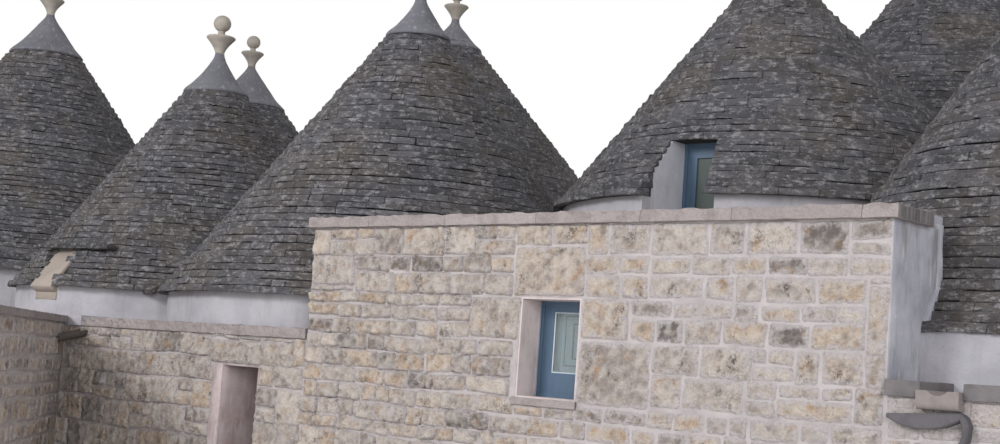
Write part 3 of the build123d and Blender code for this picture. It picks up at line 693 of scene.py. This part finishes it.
def plaster_caps():
    """Concave limewashed caps, trowelled by hand over the last courses."""
    work = bmesh.new()
    for cone in CONES.values():
        z0 = cap_height(cone)
        z1 = cone["top"] - 0.02
        r0 = radius_at(cone, z0) + 0.035
        middle = middle_at(cone, z0)
        points = [
            (r0 - 0.06, z0 - 0.03),
            (r0, z0 - 0.015),
            (r0 * 0.97, z0 + 0.04),
            (r0 * 0.71, z0 + 0.27 * (z1 - z0)),
            (r0 * 0.42, z0 + 0.60 * (z1 - z0)),
            (0.10, z1 - 0.06),
            (0.074, z1 + 0.05),
        ]
        turned(work, middle, smooth_profile(points, 5), 40)
    bmesh.ops.remove_doubles(work, verts=work.verts[:], dist=0.0005)
    for vert in work.verts:
        push = noise.noise(vert.co * 3.1) * 0.016 + noise.noise(vert.co * 9.0) * 0.006
        vert.co += Vector((push, noise.noise(vert.co * 3.1 + Vector((9, 0, 0))) * 0.016, 0))
    return finish_piece(work, "trowelled_caps", CAP_COAT, True, ("plaster_caps",))


def turned_finials():
    """Stone ball on a short stem over a flared dish."""
    work = bmesh.new()
    for cone in CONES.values():
        z = cone["top"]
        middle = middle_at(cone, cap_height(cone))
        turned(work, middle, [(radius, z + rise) for radius, rise in FINIAL_DISH], 28)
        ball_z = z + BALL_RISE
        made = bmesh.ops.create_uvsphere(
            work, u_segments=28, v_segments=16, radius=BALL,
            matrix=Matrix.Translation((middle.x, middle.y, ball_z)),
        )
        for vert in made["verts"]:
            vert.co.z = ball_z + (vert.co.z - ball_z) * BALL_FLATNESS
    bmesh.ops.remove_doubles(work, verts=work.verts[:], dist=0.0003)
    for vert in work.verts:
        spot = vert.co * 7
        vert.co += Vector((noise.noise(spot), noise.noise(spot + Vector((5, 5, 5))), 0)) * 0.004
    return finish_piece(work, "turned_finials", CARVED, True, ("finial_stones",))


# Walls of dressed blocks

def shares(total, least, most, rnd, uneven):
    """Parts that fill a length, each near the wanted size and uneven by a share of it."""
    count = max(1, round(total / rnd.uniform(least, most)))
    parts = [rnd.uniform(1 - uneven, 1 + uneven) for _ in range(count)]
    scale = total / sum(parts)
    made = []
    place = 0.0
    for part in parts:
        made.append((place, place + part * scale))
        place += part * scale
    return made


def stones_between(left, right, low, high, rnd):
    """Stones of one course; a tall course has some places filled with two flat stones."""
    made = []
    rise = high - low
    for a, b in shares(right - left, 0.26 + 0.35 * rise, 0.34 + 0.60 * rise, rnd, 0.48):
        if rise > 0.27 and rnd.random() < 0.22:
            part = low + rise * rnd.uniform(0.38, 0.62)
            made.append((left + a, left + b, low, part))
            if b - a > 0.40:
                middle = left + a + (b - a) * rnd.uniform(0.35, 0.65)
                made += [(left + a, middle, part, high), (middle, left + b, part, high)]
            else:
                made.append((left + a, left + b, part, high))
        else:
            made.append((left + a, left + b, low, high))
    return made


def uneven_steps(count, length):
    """Grid stations with a narrow strip at both ends."""
    strip = min(RIM / length, 0.3)
    inner = [strip + (1 - 2 * strip) * i / (count - 2) for i in range(count - 1)]
    return [0.0] + inner + [1.0]


def dressed_block(work, layers, origin, along, out, stone, rnd, cell, proud, sag, smooth):
    """One stone face: nearly flush at its joints, lumpy and scalloped by the pick inside them."""
    tone, high, rim_away = layers
    left, right, low, top = stone
    joint = rnd.uniform(0.003, 0.012) * (0.3 + 0.7 * smooth)
    width = right - left - 2 * joint
    height = top - low - 2 * joint
    nx = max(4, round(width / cell) + 2)
    ny = max(4, round(height / cell) + 2)
    stations_x = uneven_steps(nx, width)
    stations_y = uneven_steps(ny, height)
    made = bmesh.ops.create_grid(work, x_segments=nx, y_segments=ny, size=0.5)
    lift = rnd.uniform(0.25, 0.70) * proud
    lean_x = rnd.uniform(-0.35, 0.35) * proud / max(width, 0.15)
    lean_y = rnd.uniform(-0.35, 0.35) * proud / max(height, 0.15)
    skew = [Vector((rnd.uniform(-0.014, 0.014), rnd.uniform(-0.014, 0.014))) for _ in range(4)]
    seed = Vector((rnd.uniform(0, 90), rnd.uniform(0, 90), rnd.uniform(0, 90)))
    rough = rnd.uniform(0.6, 1.5)
    value = clamped(rnd.gauss(0.52, 0.24))
    for vert in made["verts"]:
        column = round((vert.co.x + 0.5) * nx)
        row = round((vert.co.y + 0.5) * ny)
        s = stations_x[column]
        t = stations_y[row]
        foot_skew = skew[0] * (1 - s) + skew[1] * s
        corner = foot_skew * (1 - t) + (skew[2] * (1 - s) + skew[3] * s) * t
        at_side, at_bed = column in (0, nx), row in (0, ny)
        rim = at_side or at_bed
        u = (s - 0.5) * width
        v = (t - 0.5) * height
        spot = Vector((u, v, 0)) + seed
        if at_side and at_bed:
            u -= math.copysign(0.014, u)
            v -= math.copysign(0.014, v)
        if rim:
            u += noise.noise(spot * 11) * 0.009
            v += noise.noise(spot * 11 + Vector((7, 7, 7))) * 0.009
        scallop = min(1.0, noise.voronoi(spot * 13)[0][0] * 1.3)
        pick = 0.50 * scallop + 0.34 * (0.5 + 0.5 * noise.noise(spot * 7)) + 0.16 * noise.noise(spot * 26)
        bow = lift + lean_x * u + lean_y * v + proud * rough * 1.7 * (pick - 0.40)
        depth = -0.003 if rim else max(0.001, bow)
        middle_u = (left + right) / 2 + u + corner.x
        middle_v = (low + top) / 2 + v + corner.y
        middle_v += 0.016 * noise.noise(Vector((middle_u * 0.9, low * 3.0, 5.0))) * sag
        vert.co = origin + along * middle_u + UP * middle_v + out * depth
        to_side, to_bed = (0.5 - abs(s - 0.5)) * width, (0.5 - abs(t - 0.5)) * height
        vert[rim_away] = 0.022 * (1 - smooth) + min(0.12, to_side, to_bed)
        # how high the face stands: darkens its low parts and lays the painted highlight on its ridges
        vert[high] = 0.25 if rim else clamped(0.05 + 1.25 * pick)
    set_tone(made["verts"], tone, value)


def broken_round(span, gaps):
    """What is left of one course beside, under and over its openings and large stones."""
    spans = [span]
    for left, right, foot, head in gaps:
        cut = []
        for a, b, low, high in spans:
            if right < a + 0.02 or left > b - 0.02 or head < low + 0.02 or foot > high - 0.02:
                cut.append((a, b, low, high))
                continue
            over = (max(a, left), min(b, right))
            cut += [(a, left, low, high), (right, b, low, high), (*over, low, foot), (*over, head, high)]
        spans = [p for p in cut if p[1] - p[0] > 0.04 and p[3] - p[2] > 0.05]
    return spans


def dressed_wall(name, origin, along, out, length, high, holes=(), big_stones=(), cell=CELL,
                 proud=0.022, zones=(), rugged=(1.0, 1.0), material=LIMESTONE):
    """Stones laid zone by zone, broken round the openings and a few large stones."""
    rnd = random.Random("wall " + name)
    work = bmesh.new()
    layers = (
        work.faces.layers.float.new("tone"), work.verts.layers.float.new("proud"),
        work.verts.layers.float.new("edge"),
    )

    def lay(stone, sag):
        # from the left part's ruggedness to the right part's, around the middle of the face
        share = clamped((0.5 * (stone[0] + stone[1]) / length - 0.36) / 0.26)
        lumps = rugged[0] + (rugged[1] - rugged[0]) * share
        smooth = clamped((1.6 - lumps) / 0.7)
        dressed_block(work, layers, origin, along, out, stone, rnd, cell, proud * lumps, sag, smooth)

    for stone in big_stones:
        lay(stone, 0.0)
    if not zones:
        levels = [a for a, _ in shares(high, *WALL_COURSES, rnd, 0.32)]
        zones = ((0.0, length, (*levels, high)),)
    for start_x, end_x, levels in zones:
        for z0, z1 in zip(levels, levels[1:]):
            for span in broken_round((start_x, end_x, z0, z1), (*holes, *big_stones)):
                for stone in stones_between(*span, rnd):
                    lay(stone, 0.5 + 0.5 * rugged[0])
    return finish_piece(work, name, material, True)


def rough_slabs(name, origin, along, out, length, depth, low, high, replaces, lengths, rough,
                material=COPING):
    """A run of thick slabs with broken front edges, laid end to end."""
    rnd = random.Random("slabs " + name)
    whole = bmesh.new()
    whole.faces.layers.float.new("tone")
    turn = Matrix((along, -out, UP)).transposed().to_4x4()
    half_way = (low + high) / 2
    x = 0.0
    while x < length - 0.01:
        width = min(rnd.uniform(*lengths), length - x)
        if length - x - width < 0.3:
            width = length - x
        middle = origin + along * (x + width / 2) - out * (depth / 2) + UP * half_way
        place = Matrix.Translation(middle) @ turn @ Matrix.Diagonal((width - 0.002, depth, high - low, 1))
        work = bmesh.new()
        tone = work.faces.layers.float.new("tone")
        bmesh.ops.create_cube(work, size=1.0, matrix=place)
        for way, cuts in ((along, max(2, int(width / 0.045))), (UP, 3), (out, 5)):
            ribs = [
                e for e in work.edges if abs((e.verts[1].co - e.verts[0].co).normalized().dot(way)) > 0.9
            ]
            bmesh.ops.subdivide_edges(work, edges=ribs, cuts=cuts, use_grid_fill=True)
        value = rnd.uniform(0.35, 0.85)
        for face in work.faces:
            face[tone] = value
        for v in work.verts:
            front = (v.co - origin).dot(out) > -0.02
            upper = (v.co - origin).dot(UP) > half_way
            push = noise.noise(v.co * 6.5) * rough + noise.noise(v.co * 19) * rough * 1.1
            wear = 1.0 if upper else 0.45
            if front:
                v.co += out * (push - rough * 0.4) * wear
            v.co += UP * noise.noise(v.co * 9 + Vector((3, 3, 3))) * rough * (0.9 if upper else 0.25)
        merge(whole, work)
        x += width
    return soften(finish_piece(whole, name, material, False, replaces), 0.004)


for letter in CONES:
    slab_courses(letter)
plaster_caps()
turned_finials()

# street faces; places along a wall are counted from its left end
window_left, window_right = WINDOW[0] + BLOCK_HALF, WINDOW[1] + BLOCK_HALF
block_long = 2 * BLOCK_HALF
dressed_wall(
    "block_face_stones", Vector((-BLOCK_HALF, 0, 0)), X, FRONT, block_long, BLOCK_TOP,
    holes=((window_left, window_right, WINDOW[2] - 0.072, WINDOW[3]),),
    big_stones=(
        (3.07, 3.99, WINDOW[3], 3.26),
        (2.52, window_left, 2.32, WINDOW[3]),
        (window_right, 4.55, 2.34, WINDOW[3]),
        (window_right, 4.82, 1.71, 2.34),
        (6.98, block_long, 2.33, 2.92),
        (0.0, 0.72, 2.81, 3.16),
    ),
    zones=(
        (0.0, block_long, (0.0, 0.30, 0.62, 0.95, 1.22, 1.37, 1.56, WINDOW[2])),
        (0.0, 3.12, (WINDOW[2], 1.92, 2.12, 2.29, 2.46, 2.62, WINDOW[3])),
        (3.90, block_long, (WINDOW[2], 2.06, 2.35, 2.58, WINDOW[3])),
        (0.0, block_long, (WINDOW[3], 2.98, 3.155, BLOCK_TOP)),
    ),
    cell=0.034, rugged=(2.0, 0.85),
)
door_top = DOOR[2] + 0.015
dressed_wall(
    "low_face_stones", Vector((CORNER_X, 0, 0)), X, FRONT, -BLOCK_HALF - CORNER_X, LOW_TOP,
    holes=((DOOR[0] - CORNER_X - DOOR_BAND, DOOR[1] - CORNER_X, 0.0, door_top),),
    big_stones=((3.40, 4.92, door_top, 2.14),),
    zones=(
        (0.0, 3.46, (0.0, 0.28, 0.60, 0.94, 1.28, 1.62, 1.92, LOW_TOP)),
        (3.46, 5.13, (0.0, 0.38, 0.80, 1.21, 1.61, door_top, LOW_TOP)),
    ),
    rugged=(2.0, 2.0),
)
dressed_wall(
    "right_face_stones", Vector((BLOCK_HALF, 0, 0)), X, FRONT, RIGHT_END - BLOCK_HALF, RIGHT_TOP,
    cell=0.042, rugged=(0.7, 0.7), material=SMEARED,
)
court_along = Vector((math.cos(COURT_ANGLE), math.sin(COURT_ANGLE), 0))
court_out = Vector((-math.sin(COURT_ANGLE), math.cos(COURT_ANGLE), 0))
court_origin = Vector((*COURT_START, 0))
dressed_wall(
    "court_face_stones", court_origin + court_along * 0.06, court_along, court_out, COURT_LENGTH - 0.06,
    COURT_TOP,
)

# faces out of the photograph's sight, laid the same way
BLANK_FACES = (
    ("far_left_face_stones", (LEFT_END, 0), X, FRONT, CORNER_X - LEFT_END - 0.5, LOW_TOP),
    ("left_end_stones", (LEFT_END, MID_BACK), -Y, -X, MID_BACK, LOW_TOP),
    ("far_back_stones", (BACK_RANGE_LEFT, MID_BACK), -X, Y, BACK_RANGE_LEFT - LEFT_END, LOW_TOP),
    ("back_range_end_stones", (BACK_RANGE_LEFT, BACK_RANGE_END), -Y, -X, BACK_RANGE_END - MID_BACK,
     BLOCK_TOP),
    ("back_range_stones", (REAR_LEFT, BACK_RANGE_END), -X, Y, REAR_LEFT - BACK_RANGE_LEFT, BLOCK_TOP),
    ("rear_back_stones", (REAR_RIGHT, REAR_END), -X, Y, REAR_RIGHT - REAR_LEFT, BLOCK_TOP),
    ("rear_right_stones", (REAR_RIGHT, CORE_BACK), Y, X, REAR_END - CORE_BACK, BLOCK_TOP),
    ("right_end_stones", (RIGHT_END, 0), Y, X, RIGHT_BACK, RIGHT_TOP),
    ("right_back_stones", (RIGHT_END, RIGHT_BACK), -X, Y, RIGHT_END - 2.5, RIGHT_TOP),
)
for label, corner, along, out, length, high in BLANK_FACES:
    dressed_wall(label, Vector((*corner, 0)), along, out, length, high,
                 cell=0.10, proud=0.020)

# copings and the right ledge
rough_slabs(
    "block_coping_slabs", Vector((-BLOCK_HALF - COPING_OUT, -COPING_OUT, 0)), X, FRONT,
    2 * (BLOCK_HALF + COPING_OUT), COPING_DEEP + COPING_OUT, BLOCK_TOP, BLOCK_TOP + BLOCK_COPING,
    ("block_coping",), (0.9, 1.5), 0.022,
)
for label, left, right, rough in (
    ("left_coping_slabs", OUTLET[1], -BLOCK_HALF, 0.020), ("left_coping_end", CORNER_X, OUTLET[0], 0.010),
):
    rough_slabs(
        label, Vector((left, -LEFT_COPING_OUT, 0)), X, FRONT, right - left, LEFT_COPING_DEEP,
        LOW_TOP, LOW_TOP + LOW_COPING, ("left_coping",), (0.5, 1.1), rough,
    )
for label, left, right in (("ledge_slabs", SPOUT[1], RIGHT_END), ("ledge_end_slab", BLOCK_HALF, SPOUT[0])):
    rough_slabs(
        label, Vector((left, -LEDGE_OUT, 0)), X, FRONT, right - left, LEDGE_DEEP,
        RIGHT_TOP, RIGHT_TOP + RIGHT_COPING, ("right_ledge",), (0.7, 1.2), 0.010, LEDGE_STONE,
    )
rough_slabs(
    "court_coping_slabs", court_origin + court_along * 0.05 + court_out * 0.04, court_along, court_out,
    COURT_LENGTH - 0.05, COURT_THICK + 0.08, COURT_TOP, COURT_TOP + COURT_COPING, ("court_coping",),
    (0.6, 1.2), 0.008,
)


# Coats of plaster and single pieces

def plaster_sheet(whole, x0, x1, y0, y1, z0, z1, wave=0.004, turn=None):
    """A hand-laid coat: a block cut into a soft grid and pushed about a little."""
    work = bmesh.new()
    block_between(work, x0, x1, y0, y1, z0, z1)
    for axis, span in enumerate((x1 - x0, y1 - y0, z1 - z0)):
        cuts = int(span / 0.12)
        if cuts:
            long_ones = [
                e for e in work.edges if abs(e.verts[0].co[axis] - e.verts[1].co[axis]) > 0.9 * span
            ]
            bmesh.ops.subdivide_edges(work, edges=long_ones, cuts=cuts, use_grid_fill=True)
    for vert in work.verts:
        push = noise.noise(vert.co * 4.0) * wave + noise.noise(vert.co * 13.0) * wave * 0.5
        vert.co += Vector((push, push, 0))
    if turn:
        bmesh.ops.transform(work, matrix=turn, verts=work.verts)
    merge(whole, work)


def plaster_coat(name, material, worn, sheets, segments=1):
    """One piece made of hand-laid sheets of plaster."""
    work = bmesh.new()
    for sheet in sheets:
        plaster_sheet(work, *sheet)
    return soften(finish_piece(work, name, material, True), worn, segments)


def single_slab(name, place, cuts, fine, by, worn):
    """One slab of stone broken by hand."""
    work = bmesh.new()
    work.faces.layers.float.new("tone")
    bmesh.ops.create_cube(work, size=1.0, matrix=place)
    bmesh.ops.subdivide_edges(work, edges=work.edges[:], cuts=cuts, use_grid_fill=True)
    for vert in work.verts:
        vert.co += Vector([noise.noise(vert.co * fine + Vector((k, k, k))) * by for k in (0, 4, 8)])
    return soften(finish_piece(work, name, SLABS), worn)


# smooth coat round the street doorway: a strip on the face and the lined reveal, its grey-pink made lighter
# as painted light
door_left, door_right, door_head = DOOR
plaster_coat("doorway_coat", DOORWAY_COAT, 0.006, (
    (door_left - DOOR_BAND, door_left + 0.015, -0.014, 0.03, 0.0, door_head + 0.012),
    (door_left - 0.01, door_left + 0.016, 0.0, WALL + 0.01, 0.0, door_head),
    (door_right - 0.016, door_right + 0.01, 0.002, WALL + 0.01, 0.0, door_head),
    (door_left, door_right, 0.004, WALL + 0.01, door_head - 0.014, door_head + 0.01),
))

# plaster at the slot, its projecting lintel slab, and the patch on the drum below, darkened as the painted
# shade of a recess
cone_a = CONES["a"]
slot_turn = math.radians((SLOT_FROM + SLOT_TO) / 2 + 90)
slot_half = math.radians(SLOT_TO - SLOT_FROM) * (cone_a["r"] - 0.1) / 2
drum_front = -cone_a["r"] + DRUM_INSET
to_slot = Matrix.Translation((cone_a["x"], cone_a["y"], 0)) @ Matrix.Rotation(slot_turn, 4, "Z")
to_slope = (
    to_slot @ Matrix.Translation((0, -cone_a["r"] + 0.055, cone_a["eave"]))
    @ Matrix.Rotation(-slope_of(cone_a), 4, "X")
)
plaster_coat("slot_coat", SLOT_RENDER, 0.005, (
    (-slot_half, slot_half, -0.03, 0.10, -0.05, 0.70, 0.003, to_slope),
    (-slot_half, slot_half, drum_front - 0.006, drum_front + 0.05,
     cone_a["eave"] - 0.21, cone_a["eave"] + 0.03, 0.002, to_slot),
))
to_lintel = (
    to_slot @ Matrix.Rotation(math.radians(7), 4, "Z")
    @ Matrix.Translation((-0.10, -radius_at(cone_a, 3.36) + 0.10, 3.375))
)
single_slab("slot_lintel_slab", to_lintel @ Matrix.Diagonal((1.55, 0.46, 0.070, 1)), 5, 5, 0.02, 0.008)

# plaster flashing where the block meets the right cone: up its corner, along the eave, behind the coping
to_eave = Matrix.Translation((0, 0.56, 2.60)) @ Matrix.Rotation(-slope_of(CONES["e"]), 4, "X")
plaster_coat("flashing_coat", RENDER, 0.010, (
    (BLOCK_HALF - 0.08, BLOCK_HALF + 0.012, FLANK_BACK + 0.01, FLANK_BACK + 0.115,
     2.80, BLOCK_TOP + 0.05, 0.012),
    (BLOCK_HALF - 0.06, BLOCK_HALF + 0.045, -0.02, 0.04, 0.02, 0.46, 0.014, to_eave),
    (2.7, BLOCK_HALF - 0.10, 0.62, 1.10, BLOCK_TOP, BLOCK_TOP + BLOCK_COPING + 0.03, 0.012),
), 2)

# grey render over the block's right flank
plaster_coat("flank_coat", RENDER, 0.004, (
    (BLOCK_HALF - 0.02, BLOCK_HALF + 0.008, 0.004, FLANK_BACK + 0.015, RIGHT_TOP, BLOCK_TOP + 0.002),
))

# window dressing: stone sill, pale lip of the reveal, glazing bead painted pale as a glint, and the lines of
# the shutter's panels
rough_slabs(
    "window_sill_slab", Vector((WINDOW[0] - 0.03, -0.030, 0)), X, FRONT, WINDOW[1] - WINDOW[0] + 0.05, 0.32,
    WINDOW[2] - 0.070, WINDOW[2] + 0.004, (), (0.8, 0.9), 0.006,
)
plaster_coat("reveal_lip", PLASTER, 0.004, (
    (WINDOW[0] + 0.015, WINDOW[0] + 0.030, WINDOW_SET_BACK - 0.038, WINDOW_SET_BACK - 0.002,
     WINDOW[2] + 0.03, WINDOW[3] - 0.03, 0.002),
))


def bead_frame(work, x0, x1, z0, z1, y0, y1, wide):
    """Four mitre-less strips round a panel."""
    for a, b, c, d in (
        (x0, x0 + wide, z0, z1), (x1 - wide, x1, z0, z1),
        (x0 + wide, x1 - wide, z0, z0 + wide), (x0 + wide, x1 - wide, z1 - wide, z1),
    ):
        block_between(work, a, b, y0, y1, c, d)


panel_beads = bmesh.new()
bead_frame(panel_beads, *SHUTTER_PANEL, 0.3645, 0.372, 0.010)
bead_frame(panel_beads, *SHUTTER_FIELD, 0.3740, 0.390, 0.012)
soften(finish_piece(panel_beads, "shutter_panel_beads", DEEP_BLUE), 0.002)
# glazing bead in pale paint as a painted glint
glazing_bead = bmesh.new()
bead_frame(glazing_bead, *PANE_EDGE, 0.3190, 0.3298, 0.013)
soften(finish_piece(glazing_bead, "glazing_beads", BEAD_GLINT_PAINT), 0.003)

# chip of stone that sheds water in the valley between cones a and b
to_valley = Matrix.Translation((-8.37, 1.30, 2.86)) @ Matrix.Rotation(math.radians(28), 4, "X")
single_slab("valley_chip", to_valley @ Matrix.Diagonal((0.22, 0.50, 0.07, 1)), 3, 9, 0.012, 0.006)

# materials of the shown construction
BY_WORD = (
    (("cone_",), CORE, "roof_slabs"),
    (("plaster_", "roof_kerb"), PLASTER, "lime_plaster"),
    (("window_lining",), REVEAL_COAT, "lime_plaster"),
    (("dormer_cheek",), CHEEK_COAT, "lime_plaster"),
    (("finial",), CARVED, "finial_stone"),
    (("coping", "ledge"), COPING, "coping_stone"),
    (("catch_stone",), CATCH_STONE, "coping_stone"),
    (("spout_stone",), SPOUT_STONE, "coping_stone"),
    (("gutter",), DARK_CLAY, "coping_stone"),
    (("_roof",), SCREED, "roof_screed"),
    (("window_frame", "window_sash", "dormer_frame", "dormer_leaf"), BLUE, "blue_wood"),
    (("window_shutter",), PALE_BLUE, "pale_blue_wood"),
    (("window_glass",), GLASS, "pane_glass"),
    (("dormer_pane",), DUSTY_GLASS, "pane_glass"),
    (("block_flank",), RENDER, "inner_stone"),
    (("arch_", "rear_", "back_wall", "side_wall", "block_side", "end_wall"), INNER, "inner_stone"),
)
for label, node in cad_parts.items():
    material, slot = MORTAR, "wall_stone"
    for words, choice, slot_name in BY_WORD:
        if any(word in label for word in words):
            material, slot = choice, slot_name
            break
    node.data.materials.clear()
    node.data.materials.append(material)

# pale floor
floor_work = bmesh.new()
bmesh.ops.create_grid(floor_work, x_segments=1, y_segments=1, size=400)
floor_mesh = bpy.data.meshes.new("floor")
floor_work.to_mesh(floor_mesh)
floor_work.free()
floor = in_scene("floor", floor_mesh)
floor.location.z = -FLOOR_DROP
floor_material, _, floor_surface, _ = start("pale_floor")
floor_surface.inputs["Base Color"].default_value = linear("#E9E7E4")
floor_surface.inputs["Roughness"].default_value = 1.0
floor_mesh.materials.append(floor_material)

# even light from all sides, while the camera sees plain white
world = bpy.data.worlds.new("studio")
bpy.context.scene.world = world
world.use_nodes = True
sky = world.node_tree
sky.nodes.clear()
path = put(sky, "ShaderNodeLightPath")
seen = joined(sky, "MAXIMUM", path.outputs["Is Camera Ray"], path.outputs["Is Glossy Ray"])
fill = put(sky, "ShaderNodeBackground", {"Color": (1, 1, 1, 1), "Strength": 0.60})
white = put(sky, "ShaderNodeBackground", {"Color": (1, 1, 1, 1), "Strength": 1.0})
mixed = put(sky, "ShaderNodeMixShader", {0: seen, 1: fill.outputs[0], 2: white.outputs[0]})
put(sky, "ShaderNodeOutputWorld", {"Surface": mixed.outputs[0]})


def lamp(name, place, aim, size, power):
    """Soft square light that looks at a point."""
    data = bpy.data.lights.new(name, "AREA")
    data.shape = "SQUARE"
    data.size = size
    data.energy = power
    made = in_scene(name, data)
    made.location = place
    made.rotation_euler = (Vector(aim) - Vector(place)).to_track_quat("-Z", "Y").to_euler()


lamp("key", (-9, -24, 15), (-3, 2, 3), 7, 4000)
lamp("side", (22, -20, 9), (-2, 3, 3), 12, 3300)

# camera where the photographer stood, solved from the photograph
camera_data = bpy.data.cameras.new("camera")
camera_data.lens = 52.56
camera_data.sensor_width = 36
camera_data.clip_end = 500
camera = in_scene("camera", camera_data)
camera.matrix_world = Matrix((
    (0.7449, 0.0143, 0.66702, 9.18),
    (0.66337, -0.12247, -0.7382, -11.0),
    (0.07113, 0.99237, -0.10071, 2.0),
    (0, 0, 0, 1),
))
bpy.context.scene.camera = camera
bpy.context.scene.view_settings.view_transform = "Standard"
